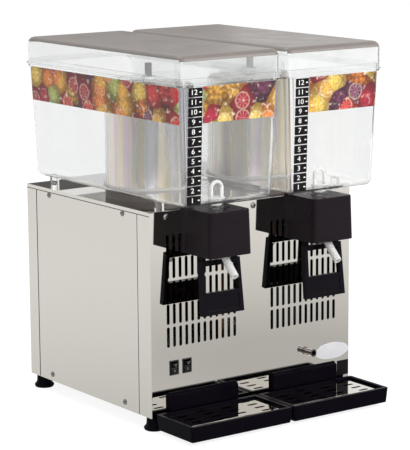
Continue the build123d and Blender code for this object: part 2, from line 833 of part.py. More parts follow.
# Tray brackets, drip trays and grids
tray_rear = front_y - bracket_thickness - bracket_gap
tray_front = front_y - tray_reach
tray_depth = tray_rear - tray_front
tray_y = (tray_rear + tray_front) / 2
for (side, x), (_, module_x) in zip(trays, modules):
    with BuildPart() as tray_bracket:
        bracket_front = front_y - bracket_thickness
        bracket_low = tray_bottom - tongue_thickness
        with BuildSketch(Plane.YZ.offset(module_x)):
            Polygon((front_y, bracket_low), (front_y, bracket_top), (bracket_front, bracket_top - bracket_slope),
                    (bracket_front, bracket_low), align=None)
        extrude(amount=bracket_width / 2, both=True)
        for tongue in (module_x - tongue_x, module_x + tongue_x):
            block((tongue - tongue_width / 2, front_y - tongue_length, tray_bottom - tongue_thickness),
                  (tongue + tongue_width / 2, front_y - bracket_thickness, tray_bottom))
    save(tray_bracket, f"tray_bracket_{side}")

    with BuildPart() as drip_tray:
        soft_box(x, tray_y, [(tray_bottom, tray_width - 2 * tray_draft, tray_depth - 2 * tray_draft,
                              tray_corner - tray_draft), (tray_top, tray_width, tray_depth, tray_corner)])
        seat = tray_rim
        well = tray_rim + tray_ledge
        for floor, inset in ((grid_top - grid_sheet, seat), (tray_bottom + tray_floor, well)):
            block((x - tray_width / 2 + inset, tray_front + inset, floor),
                  (x + tray_width / 2 - inset, tray_rear - inset, tray_top), Mode.SUBTRACT)
    save(drip_tray, f"drip_tray_{side}")

    with BuildPart() as drip_grid:
        grid_width = tray_width - 2 * (tray_rim + grid_clearance)
        grid_depth = tray_depth - 2 * (tray_rim + grid_clearance)
        grid_pitch_x = (grid_width - 2 * grid_border - grid_slot_length) / (grid_columns - 1)
        with BuildSketch(Plane.XY.offset(grid_top - grid_sheet)):
            with Locations((x, tray_y)):
                Rectangle(grid_width, grid_depth)
                for column in range(grid_columns):
                    shift = grid_pitch_y / 4 if column % 2 else -grid_pitch_y / 4
                    with Locations(((column - (grid_columns - 1) / 2) * grid_pitch_x, shift)):
                        with GridLocations(grid_pitch_x, grid_pitch_y, 1, grid_rows):
                            Rectangle(grid_slot_length, grid_slot_width, mode=Mode.SUBTRACT)
        extrude(amount=grid_sheet)
    save(drip_grid, f"drip_grid_{side}")

# Rocker switches
for index, side in enumerate(("left", "right")):
    x = switch_x + index * switch_pitch
    with BuildPart() as switch_frame:
        with BuildSketch(panel_face):
            with Locations((x, switch_z)):
                Rectangle(bezel_width, bezel_height)
        extrude(amount=bezel_proud)
        chamfer(switch_frame.faces().sort_by(Axis.Y)[0].edges(), bezel_proud / 2)
        with BuildSketch(panel_face):
            with Locations((x, switch_z)):
                Rectangle(switch_body_width, switch_body_height)
        extrude(amount=-switch_body_depth)
        with BuildSketch(panel_face.offset(bezel_proud)):
            with Locations((x, switch_z)):
                Rectangle(rocker_width + 2 * rocker_gap, rocker_pocket_height)
        extrude(amount=-rocker_pocket_depth - bezel_proud, mode=Mode.SUBTRACT)
    save(switch_frame, f"switch_frame_{side}")

    with BuildPart() as rocker:
        rocker_y = front_y - bezel_proud + rocker_pivot_depth
        half = rocker_height / 2
        front = -rocker_pivot_depth
        outline = [(front - rocker_end, half), (front + rocker_ridge, 0), (front - rocker_end, -half),
                   (rocker_back - rocker_back_slope, -half + rocker_back_edge), (rocker_back, 0),
                   (rocker_back - rocker_back_slope, half - rocker_back_edge)]
        rest = radians(rocker_swing / 2)
        tilted = [(rocker_y + y * cos(rest) - z * sin(rest), switch_z + y * sin(rest) + z * cos(rest))
                  for y, z in outline]
        with BuildSketch(Plane.YZ.offset(x - rocker_width / 2)):
            Polygon(*tilted, align=None)
        extrude(amount=rocker_width)
    save(rocker, f"rocker_{side}")

# Drain tube with its nut behind the panel
with BuildPart() as drain_tube:
    with BuildSketch(panel_face.offset(drain_reach)):
        with Locations((drain_x, drain_z)):
            Circle(drain_radius)
    extrude(amount=drain_neck - drain_reach)
    with BuildSketch(panel_face.offset(drain_neck)):
        with Locations((drain_x, drain_z)):
            Circle(drain_neck_radius)
    extrude(amount=-drain_neck - drain_inside)
    with BuildSketch(panel_face.offset(-sheet)):
        with Locations((drain_x, drain_z)):
            RegularPolygon(drain_nut_radius, nut_side_count)
    extrude(amount=-drain_nut_height)
    with BuildSketch(panel_face.offset(drain_reach)):
        with Locations((drain_x, drain_z)):
            RegularPolygon(drain_neck_radius - drain_wall, small_sides)
    extrude(amount=-drain_reach - drain_inside, mode=Mode.SUBTRACT)
save(drain_tube, "drain_tube")

# Gland for the mains lead
with BuildPart() as cable_gland:
    turned(lying(gland_x, rear_y, gland_z), [(-gland_reach, gland_radius), (gland_reach / 2, gland_radius),
                                             (gland_reach, gland_radius - gland_taper)], small_sides)
    with BuildSketch(rear_face):
        with Locations((gland_x, gland_z)):
            RegularPolygon(gland_nut_radius, nut_side_count)
    extrude(amount=-gland_nut_height)
    with BuildSketch(rear_face.offset(-gland_reach)):
        with Locations((gland_x, gland_z)):
            Circle(gland_bore)
    extrude(amount=2 * gland_reach, mode=Mode.SUBTRACT)
save(cable_gland, "cable_gland")

# Compressor on its rubber mounts
compressor_x = modules[0][1] + compressor_offset
compressor_y = rear_y - compressor_rear
plate_z = pan_top + grommet_height
shell_low = plate_z + compressor_plate
shell_high = shell_low + compressor_height
rim_z = (shell_low + shell_high) / 2
discharge_x = compressor_x + compressor_radius + stub_length
discharge_z = shell_low + discharge_height
suction_x = compressor_x - suction_offset
suction_z = shell_high + stub_length
with BuildPart() as compressor_mounts:
    for ear_x in (compressor_x - compressor_ear, compressor_x + compressor_ear):
        for ear_y in (compressor_y - compressor_ear, compressor_y + compressor_ear):
            turned(upright(ear_x, ear_y), [(pan_top, grommet_radius), (plate_z, grommet_waist)], line_sides)
save(compressor_mounts, "compressor_mounts")

with BuildPart() as compressor:
    rim = compressor_radius + compressor_rim
    dome = quarter_round(compressor_dome)
    turned(upright(compressor_x, compressor_y),
           [(shell_low + rise, compressor_radius - inset) for inset, rise in dome]
           + [(rim_z - compressor_rim, compressor_radius), (rim_z - compressor_rim, rim),
              (rim_z + compressor_rim, rim), (rim_z + compressor_rim, compressor_radius)]
           + [(shell_high - rise, compressor_radius - inset) for inset, rise in dome[::-1]], round_sides)
    reach = compressor_ear + grommet_radius
    block((compressor_x - reach, compressor_y - reach, plate_z),
          (compressor_x + reach, compressor_y + reach, shell_low))
    with BuildSketch(Plane.YZ.offset(compressor_x)):
        with Locations((compressor_y, discharge_z)):
            RegularPolygon(stub_radius, line_sides)
    extrude(amount=compressor_radius + stub_length)
    with BuildSketch(Plane.XY.offset(rim_z)):
        with Locations((suction_x, compressor_y)):
            RegularPolygon(stub_radius, line_sides)
    extrude(amount=suction_z - rim_z)
save(compressor, "compressor")

# Condenser behind the right slot field, on its end plates
condenser_x = modules[1][1]
condenser_width = half_width - condenser_margin
condenser_left = condenser_x - condenser_width / 2
condenser_front = front_y + condenser_setback
condenser_y = condenser_front + condenser_depth / 2
condenser_low = pan_top + condenser_raise
condenser_high = condenser_low + condenser_height
inlet_z = condenser_high - line_rise
outlet_z = condenser_low + line_rise
with BuildPart() as condenser:
    fin_pitch = (condenser_width - condenser_plate) / (fin_count + 1)
    with BuildSketch(Plane.XY.offset(condenser_low)):
        with Locations((condenser_x, condenser_y)):
            Rectangle(condenser_width, condenser_core)
            with GridLocations(fin_pitch, 1, fin_count, 1):
                Rectangle(fin_thickness, condenser_depth)
    extrude(amount=condenser_height)
    for plate_x in (condenser_left, condenser_left + condenser_width - condenser_plate):
        block((plate_x, condenser_front, pan_top),
              (plate_x + condenser_plate, condenser_front + condenser_depth, condenser_high))
    with BuildSketch(Plane.YZ.offset(condenser_left)):
        with Locations((condenser_y, inlet_z), (condenser_y, outlet_z)):
            RegularPolygon(stub_radius, line_sides)
    extrude(amount=-condenser_stub)
save(condenser, "condenser")

# Fan behind the condenser, with its shroud, motor and bracket
shroud_y = condenser_front + condenser_depth
fan_x = condenser_x
hub_y = shroud_y + shroud_sheet
motor_y = hub_y + fan_hub_length + fan_gap
bracket_y = motor_y + fan_motor_length
with BuildPart() as fan_shroud:
    throat = fan_radius + fan_tip_gap
    shroud_line = lying(fan_x, shroud_y, fan_z)
    block((condenser_left, shroud_y, pan_top),
          (condenser_left + condenser_width, shroud_y + shroud_sheet, condenser_high))
    outside = throat + shroud_ring_wall
    turned(shroud_line, [(0, outside), (shroud_ring, outside)], fine_sides)
    turned(shroud_line, [(0, throat), (shroud_ring, throat)], fine_sides, mode=Mode.SUBTRACT)
save(fan_shroud, "fan_shroud")

with BuildPart() as fan_blades:
    turned(lying(fan_x, hub_y, fan_z), [(0, fan_hub_radius - fan_hub_edge), (fan_hub_edge, fan_hub_radius),
                                        (fan_hub_length, fan_hub_radius)], round_sides)
    middle = Vector(fan_x, hub_y + fan_hub_length / 2, fan_z)
    axle = Vector(0, 1, 0)
    pitch = radians(fan_blade_pitch)
    half_root = fan_blade_root / 2
    half_chord = fan_blade_chord / 2
    for index in range(fan_blade_count):
        out = Vector(0, 0, 1).rotate(Axis.Y, 360 * index / fan_blade_count)
        across = out.cross(axle)
        normal = axle * cos(pitch) - across * sin(pitch)
        with BuildSketch(Plane(origin=middle, x_dir=out, z_dir=normal)):
            Polygon((fan_hub_radius / 2, -half_root), (fan_blade_shoulder, -half_chord),
                    (fan_radius, -fan_blade_lead), (fan_radius, fan_blade_trail),
                    (fan_blade_shoulder, half_chord), (fan_hub_radius / 2, half_root), align=None)
        extrude(amount=fan_blade_thickness / 2, both=True)
    with BuildSketch(Plane.XZ.offset(-hub_y - fan_hub_length)):
        with Locations((fan_x, fan_z)):
            RegularPolygon(fan_shaft_radius + running_clearance, small_sides, major_radius=False)
    extrude(amount=fan_hub_length - fan_shaft_recess, mode=Mode.SUBTRACT)
save(fan_blades, "fan_blades")

with BuildPart() as fan_motor:
    turned(lying(fan_x, motor_y, fan_z), [(0, fan_motor_radius), (fan_motor_length, fan_motor_radius)],
           round_sides)
    with BuildSketch(Plane.XZ.offset(-motor_y)):
        with Locations((fan_x, fan_z)):
            Circle(fan_shaft_radius)
    extrude(amount=fan_gap + fan_hub_length - fan_shaft_recess - seat_clearance)
save(fan_motor, "fan_motor")

with BuildPart() as fan_bracket:
    block((fan_x - fan_bracket_width / 2, bracket_y, pan_top),
          (fan_x + fan_bracket_width / 2, bracket_y + fan_bracket_sheet, fan_z + fan_motor_radius))
    block((fan_x - fan_bracket_width / 2, bracket_y, pan_top),
          (fan_x + fan_bracket_width / 2, bracket_y + fan_bracket_foot, pan_top + fan_bracket_sheet))
save(fan_bracket, "fan_bracket")

# Filter drier and the refrigerant lines
drier_x = condenser_left - drier_gap
drier_top = drier_bottom + drier_height
stub_x = condenser_left - condenser_stub
riser_x = (discharge_x + stub_x) / 2
pipe_end = deck_top + line_rise
suction_y = drum_y + pipe_hole_offset - line_spread
capillary_y = drum_y + pipe_hole_offset + line_spread
capillary_z = (drier_top + deck_underside) / 2
with BuildPart() as filter_drier:
    turned(upright(drier_x, condenser_y), [(drier_bottom, line_radius),
                                           (drier_bottom + drier_taper, drier_radius),
                                           (drier_top - drier_taper, drier_radius),
                                           (drier_top, line_radius + capillary_pitch / 2)], small_sides)
save(filter_drier, "filter_drier")

with BuildPart() as discharge_line:
    pipe(eased([(discharge_x, compressor_y, discharge_z), (riser_x, compressor_y, discharge_z),
                (riser_x, compressor_y, inlet_z), (riser_x, condenser_y, inlet_z),
                (stub_x, condenser_y, inlet_z)],
               line_bend, edge_steps), line_radius, line_sides)
save(discharge_line, "discharge_line")

with BuildPart() as liquid_line:
    pipe(eased([(stub_x, condenser_y, outlet_z), (drier_x, condenser_y, outlet_z),
                (drier_x, condenser_y, drier_bottom)], line_bend, edge_steps), line_radius, line_sides)
save(liquid_line, "liquid_line")

for index, (side, x) in enumerate(modules):
    start_x = drier_x + (index - 0.5) * capillary_pitch
    run_z = capillary_z - index * line_rise / 2
    with BuildPart() as capillary:
        pipe(eased([(start_x, condenser_y, drier_top), (start_x, condenser_y, run_z),
                    (start_x, capillary_y, run_z), (x, capillary_y, run_z), (x, capillary_y, pipe_end)],
                   line_bend, edge_steps),
             capillary_radius, nut_side_count)
    save(capillary, f"capillary_{side}")

with BuildPart() as suction_line:
    left_x = modules[0][1]
    right_x = modules[1][1]
    knee_z = suction_z + 2 * line_rise
    tee_z = knee_z + line_rise
    pipe(eased([(left_x, suction_y, pipe_end), (left_x, suction_y, knee_z),
                (suction_x, compressor_y, knee_z), (suction_x, compressor_y, suction_z)],
               line_bend, edge_steps), line_radius, line_sides)
    pipe(eased([(right_x, suction_y, pipe_end), (right_x, suction_y, tee_z), (left_x, suction_y, tee_z)],
               line_bend, edge_steps), line_radius, line_sides)
save(suction_line, "suction_line")

# Thermostat on the base pan
with BuildPart() as thermostat:
    thermostat_x = -half_width + thermostat_inset
    thermostat_y = front_y + thermostat_setback
    thermostat_top = pan_top + thermostat_height
    case = (thermostat_width, thermostat_depth, thermostat_corner)
    soft_box(thermostat_x, thermostat_y, [(pan_top, *case), (thermostat_top, *case)])
    turned(upright(thermostat_x, thermostat_y),
           [(thermostat_top, spindle_radius), (thermostat_top + spindle_length, spindle_radius)],
           small_sides)
save(thermostat, "thermostat")
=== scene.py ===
"""Looks of the refrigerated juice dispenser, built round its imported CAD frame."""

import json
import logging
import math
from dataclasses import dataclass
from enum import Enum
from typing import Callable, Optional, Sequence

import bmesh
import bpy
from mathutils import Matrix, Vector

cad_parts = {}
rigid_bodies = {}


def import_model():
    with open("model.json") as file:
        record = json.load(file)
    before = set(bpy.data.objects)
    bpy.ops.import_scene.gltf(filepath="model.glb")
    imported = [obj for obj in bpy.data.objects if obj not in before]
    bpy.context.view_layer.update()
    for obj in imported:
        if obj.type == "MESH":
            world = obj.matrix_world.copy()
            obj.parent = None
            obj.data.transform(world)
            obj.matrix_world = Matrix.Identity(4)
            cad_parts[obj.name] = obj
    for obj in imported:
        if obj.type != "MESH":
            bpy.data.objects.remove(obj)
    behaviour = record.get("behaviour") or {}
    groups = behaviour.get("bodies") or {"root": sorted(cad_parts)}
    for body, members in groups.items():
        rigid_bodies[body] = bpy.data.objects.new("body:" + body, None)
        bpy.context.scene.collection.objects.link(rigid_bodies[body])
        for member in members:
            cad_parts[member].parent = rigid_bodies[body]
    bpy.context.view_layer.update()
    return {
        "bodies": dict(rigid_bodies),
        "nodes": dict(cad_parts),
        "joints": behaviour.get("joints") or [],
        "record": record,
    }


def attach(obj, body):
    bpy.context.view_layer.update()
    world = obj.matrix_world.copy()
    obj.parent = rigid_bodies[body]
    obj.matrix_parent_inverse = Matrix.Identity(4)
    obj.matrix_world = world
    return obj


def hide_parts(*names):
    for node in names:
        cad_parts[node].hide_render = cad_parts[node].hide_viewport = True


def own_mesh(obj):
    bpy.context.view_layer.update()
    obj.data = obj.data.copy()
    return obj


log = logging.getLogger("juice_dispenser")

MM = 0.001  # metres in a millimetre
MERGE = 1e-6  # metres within which two points become one
FINE_MERGE = 1e-7  # the same, on turned pieces
ALONG = 0.9  # least cosine that counts as along an axis
LEANING = 0.8  # the same, for an edge that a taper leans over
NEAR_HALF = 0.02  # millimetres by which a slot's round ends stop short of a full half circle
QUARTER = math.pi / 2
NOISE_LOW, NOISE_HIGH = 0.3, 0.7  # the window that nearly all of a noise lies in
MIX_FIRST, MIX_SECOND, MIX_RESULT = 6, 7, 2  # colour sockets of a Mix node
Piece = bpy.types.Object
Socket = bpy.types.NodeSocket
Colour = tuple[float, float, float]
Ramp = Sequence[tuple[float, Colour]]
Pairs = Sequence[tuple[float, float]]
Pick = Callable[[Vector, Vector], bool]


def mm(*values: float) -> Vector:
    """A point or size in millimetres as a vector in metres."""
    return Vector(values) * MM


class Axis(Enum):
    """The axes of the shared frame, by their index."""

    X = 0
    Y = 1
    Z = 2


class Part(Enum):
    """What a selection in edit mode is made of, as vertices, edges and faces."""

    EDGES = (False, True, False)
    FACES = (False, False, True)


class Side(Enum):
    """The two drink modules, with the X of each one's middle in millimetres."""

    LEFT = -107.0
    RIGHT = 107.0

    @property
    def word(self) -> str:
        """The side's name as the CAD nodes spell it."""
        return self.name.lower()


class Seen(Enum):
    """What sees a card in the studio, as mirrors and as glass."""

    IN_MIRRORS = (True, False)
    IN_GLASS = (False, True)
    IN_BOTH = (True, True)


MODULE_SHIFT = mm(Side.RIGHT.value - Side.LEFT.value, 0, 0)
FACE_FRONT = Matrix.Rotation(QUARTER, 4, "X")


def runs(axis: Axis, least: float = ALONG) -> Pick:
    """Picks the edges that run along an axis.

    Args:
        axis: The axis.
        least: Least share of an edge's direction that lies on it.

    Returns:
        A test of an edge's middle and direction.
    """
    return lambda middle, direction: abs(direction[axis.value]) > least


def everything(middle: Vector, direction: Vector) -> bool:
    """Picks every edge or face."""
    return True


class Bench:
    """Modelling moves, each made on one selected object as by hand."""

    @staticmethod
    def clear() -> None:
        """Leaves edit mode and deselects everything."""
        if bpy.context.object is not None and bpy.context.object.mode != "OBJECT":
            bpy.ops.object.mode_set(mode="OBJECT")
        bpy.ops.object.select_all(action="DESELECT")

    @staticmethod
    def only(piece: Piece) -> None:
        """Makes a piece the one selected and active object.

        Args:
            piece: The piece to work on.
        """
        Bench.clear()
        piece.select_set(True)
        bpy.context.view_layer.objects.active = piece

    @staticmethod
    def settle(piece: Piece) -> Piece:
        """Puts a piece's place, turn and scale into its mesh.

        Args:
            piece: The piece to work on.

        Returns:
            The same piece.
        """
        Bench.only(piece)
        bpy.ops.object.transform_apply(location=True, rotation=True, scale=True)
        return piece

    @staticmethod
    def named(name: str) -> Piece:
        """Names the object that an operator has just made.

        Args:
            name: The name.

        Returns:
            The object.
        """
        piece = bpy.context.object
        piece.name = name
        piece.data.name = name
        return piece

    @staticmethod
    def block(name: str, low: Vector, high: Vector) -> Piece:
        """Adds a cube between two opposite corners.

        Args:
            name: Name of the new piece.
            low: Lowest corner in metres.
            high: Highest corner in metres.

        Returns:
            The new piece, with its place in its mesh.
        """
        Bench.clear()
        bpy.ops.mesh.primitive_cube_add(size=1, location=(low + high) / 2, scale=high - low)
        return Bench.settle(Bench.named(name))

    @staticmethod
    def turned(name: str, foot: Vector, outline: Pairs, sides: int = 64, closed: bool = False) -> Piece:
        """Draws a ring up through the steps of an outline, as on a lathe.

        Args:
            name: Name of the new piece.
            foot: Point on the axis that the heights count from, in metres.
            outline: Height and radius of each step in millimetres.
            sides: Vertices round the axis.
            closed: Joins the last ring to the first one instead of capping both.

        Returns:
            The new upright piece.
        """
        Bench.clear()
        height, radius = outline[0]
        bpy.ops.mesh.primitive_circle_add(vertices=sides, radius=radius * MM,
                                          fill_type="NOTHING" if closed else "NGON",
                                          location=foot + mm(0, 0, height))
        piece = Bench.settle(Bench.named(name))
        Bench.choose(piece, Part.EDGES if closed else Part.FACES, everything)
        for next_height, next_radius in outline[1:]:
            move = {"value": mm(0, 0, next_height - height)}
            if closed:
                bpy.ops.mesh.extrude_edges_move(TRANSFORM_OT_translate=move)
            else:
                bpy.ops.mesh.extrude_region_move(TRANSFORM_OT_translate=move)
            grow = next_radius / radius
            bpy.ops.transform.resize(value=(grow, grow, 1),
                                     center_override=foot + mm(0, 0, next_height))
            height, radius = next_height, next_radius
        if closed:
            bpy.ops.mesh.select_all(action="DESELECT")
            bpy.ops.mesh.select_non_manifold()
            bpy.ops.mesh.bridge_edge_loops()
        bpy.ops.mesh.select_all(action="SELECT")
        bpy.ops.mesh.remove_doubles(threshold=FINE_MERGE)
        bpy.ops.mesh.normals_make_consistent(inside=False)
        Bench.done()
        return piece

    @staticmethod
    def tube(name: str, route: Sequence[Vector], radius: float, steps: int, rings: int,
             capped: bool = False) -> Piece:
        """Draws a round tube along the smooth line that its points steer.

        Args:
            name: Name of the new piece.
            route: Control points in metres.
            radius: Radius in millimetres.
            steps: Steps along the line per point.
            rings: Fineness of the section.
            capped: Closes both ends.

        Returns:
            The new piece as a mesh.
        """
        Bench.clear()
        bpy.ops.curve.primitive_nurbs_path_add()
        curve = Bench.named(name)
        spline = curve.data.splines[0]
        spline.points.add(len(route) - len(spline.points))
        for point, spot in zip(spline.points, route):
            point.co = (*spot, 1.0)
        spline.order_u = 3
        spline.use_endpoint_u = True
        spline.resolution_u = steps
        curve.data.bevel_depth = radius * MM
        curve.data.bevel_resolution = rings
        curve.data.use_fill_caps = capped
        bpy.ops.object.convert(target="MESH")
        tube = Bench.settle(Bench.named(name))
        Bench.finish_with(tube, "WELD", merge_threshold=MERGE)
        return tube

    @staticmethod
    def choose(piece: Piece, part: Part, pick: Pick) -> None:
        """Enters edit mode with edges or faces selected by their place.

        Args:
            piece: The mesh to work on.
            part: Whether edges or faces are chosen.
            pick: Takes a middle and an edge's direction or a face's normal.
        """
        Bench.only(piece)
        bpy.ops.object.mode_set(mode="EDIT")
        bpy.context.tool_settings.mesh_select_mode = part.value
        bpy.ops.mesh.select_all(action="DESELECT")
        mesh = bmesh.from_edit_mesh(piece.data)
        if part is Part.EDGES:
            for edge in mesh.edges:
                a, b = edge.verts[0].co, edge.verts[1].co
                edge.select_set(pick((a + b) / 2, (b - a).normalized()))
        else:
            for face in mesh.faces:
                face.select_set(pick(face.calc_center_median(), face.normal))
        bmesh.update_edit_mesh(piece.data)

    @staticmethod
    def done() -> None:
        """Leaves edit mode."""
        bpy.ops.object.mode_set(mode="OBJECT")

    @staticmethod
    def round_edges(piece: Piece, pick: Pick, radius: float, steps: int) -> None:
        """Rounds the chosen edges.

        Args:
            piece: The mesh to work on.
            pick: Chooses the edges by their middle and direction.
            radius: Radius in millimetres.
            steps: Flats along the round.
        """
        Bench.choose(piece, Part.EDGES, pick)
        bpy.ops.mesh.bevel(offset=radius * MM, segments=steps, profile=0.5, affect="EDGES")
        Bench.done()

    @staticmethod
    def drop_faces(piece: Piece, pick: Pick) -> None:
        """Deletes the chosen faces.

        Args:
            piece: The piece to work on.
            pick: Chooses the faces by their middle and normal.
        """
        Bench.choose(piece, Part.FACES, pick)
        bpy.ops.mesh.delete(type="FACE")
        Bench.done()

    @staticmethod
    def scale_faces(piece: Piece, pick: Pick, factor: Vector, centre: Vector) -> None:
        """Scales the chosen faces about a centre, which tapers the piece.

        Args:
            piece: The piece to work on.
            pick: Chooses the faces by their middle and normal.
            factor: Factor on each axis.
            centre: Point that stays, in metres.
        """
        Bench.choose(piece, Part.FACES, pick)
        bpy.ops.transform.resize(value=factor, center_override=centre)
        Bench.done()

    @staticmethod
    def swell(piece: Piece, pick: Pick, amount: float) -> None:
        """Draws the chosen faces out along their normals, by millimetres.

        Args:
            piece: The piece to work on.
            pick: Chooses the faces by their middle and normal.
            amount: How far, in millimetres.
        """
        Bench.choose(piece, Part.FACES, pick)
        bpy.ops.mesh.extrude_region_shrink_fatten(TRANSFORM_OT_shrink_fatten={"value": amount * MM})
        Bench.done()

    @staticmethod
    def puff(piece: Piece, amount: float) -> None:
        """Moves a whole skin out along its normals, by millimetres.

        Args:
            piece: The piece to work on.
            amount: How far, in millimetres.
        """
        Bench.choose(piece, Part.FACES, everything)
        bpy.ops.transform.shrink_fatten(value=amount * MM)
        Bench.done()

    @staticmethod
    def cut_level(piece: Piece, height: float) -> None:
        """Cuts a level line through a mesh at a height in millimetres."""
        Bench.cut(piece, mm(0, 0, height), Axis.Z)

    @staticmethod
    def cut(piece: Piece, spot: Vector, across: Axis) -> None:
        """Cuts a line through a mesh where a plane square to an axis meets it.

        Args:
            piece: The mesh to work on.
            spot: A point of the plane in metres.
            across: The axis that the plane is square to.
        """
        Bench.choose(piece, Part.FACES, everything)
        bpy.ops.mesh.bisect(plane_co=spot, plane_no=[float(axis is across) for axis in Axis])
        Bench.done()

    @staticmethod
    def finish_with(piece: Piece, kind: str, **settings: object) -> None:
        """Adds a modifier and applies it.

        Args:
            piece: The object to finish.
            kind: Blender's name of the modifier type.
            settings: The modifier's own properties.
        """
        Bench.only(piece)
        modifier = piece.modifiers.new(kind.title(), kind)
        for key, value in settings.items():
            setattr(modifier, key, value)
        bpy.ops.object.modifier_apply(modifier=modifier.name)

    @staticmethod
    def thicken(piece: Piece, wall: float) -> None:
        """Gives a skin a wall on its inner side, in millimetres."""
        Bench.finish_with(piece, "SOLIDIFY", thickness=wall * MM, offset=-1.0, use_even_offset=True)

    @staticmethod
    def repeat(piece: Piece, count: int, step: Vector) -> None:
        """Repeats a mesh in a row, each a step in metres from the one before."""
        Bench.finish_with(piece, "ARRAY", count=count, use_relative_offset=False,
                          use_constant_offset=True, constant_offset_displace=step)

    @staticmethod
    def combine(piece: Piece, tool: Piece, operation: str) -> None:
        """Joins a tool body to a piece or takes it away, and removes the tool."""
        Bench.finish_with(piece, "BOOLEAN", object=tool, operation=operation, solver="EXACT")
        bpy.data.objects.remove(tool, do_unlink=True)

    @staticmethod
    def join(pieces: Sequence[Piece], name: str) -> Piece:
        """Joins pieces into one object under the first one's material.

        Args:
            pieces: The objects to join.
            name: Name of the joined object.

        Returns:
            The joined object.
        """
        Bench.only(pieces[0])
        for piece in pieces:
            piece.select_set(True)
        bpy.ops.object.join()
        return Bench.named(name)

    @staticmethod
    def copy(piece: Piece, name: str, shift: Vector) -> Piece:
        """Copies a piece, with a mesh of its own, by a shift in metres.

        Args:
            piece: The piece to work on.
            name: Name of the copy.
            shift: Way to the copy in metres.

        Returns:
            The copy.
        """
        Bench.only(piece)
        bpy.ops.object.duplicate(linked=False)
        twin = Bench.named(name)
        bpy.ops.transform.translate(value=shift)
        return Bench.settle(twin)

    @staticmethod
    def place(piece: Piece, place: Matrix) -> Piece:
        """Moves a piece that was built at the origin to its place."""
        piece.matrix_world = place @ piece.matrix_world
        return Bench.settle(piece)

    @staticmethod
    def smooth(piece: Piece, degrees: float = 32) -> None:
        """Shades a piece smooth but for its sharper edges.

        Args:
            piece: The piece to work on.
            degrees: Angle from which an edge stays sharp.
        """
        Bench.only(piece)
        bpy.ops.object.shade_smooth_by_angle(angle=math.radians(degrees))
        Bench.finish_with(piece, "WEIGHTED_NORMAL", weight=100, keep_sharp=True)

    @staticmethod
    def lettering(name: str, words: str, height: float, thickness: float) -> Piece:
        """Sets a number as a thin mesh, centred on the origin in the XY plane.

        Args:
            name: Name of the new piece.
            words: The figures.
            height: Height of the type in millimetres.
            thickness: Depth of the type in millimetres.

        Returns:
            The new piece.
        """
        Bench.clear()
        bpy.ops.object.text_add()
        piece = Bench.named(name)
        piece.data.body = words
        piece.data.align_x = "CENTER"
        piece.data.align_y = "CENTER"
        piece.data.size = height * MM
        piece.data.extrude = thickness * MM / 2
        piece.data.resolution_u = 3
        bpy.ops.object.convert(target="MESH")
        return Bench.settle(bpy.context.object)


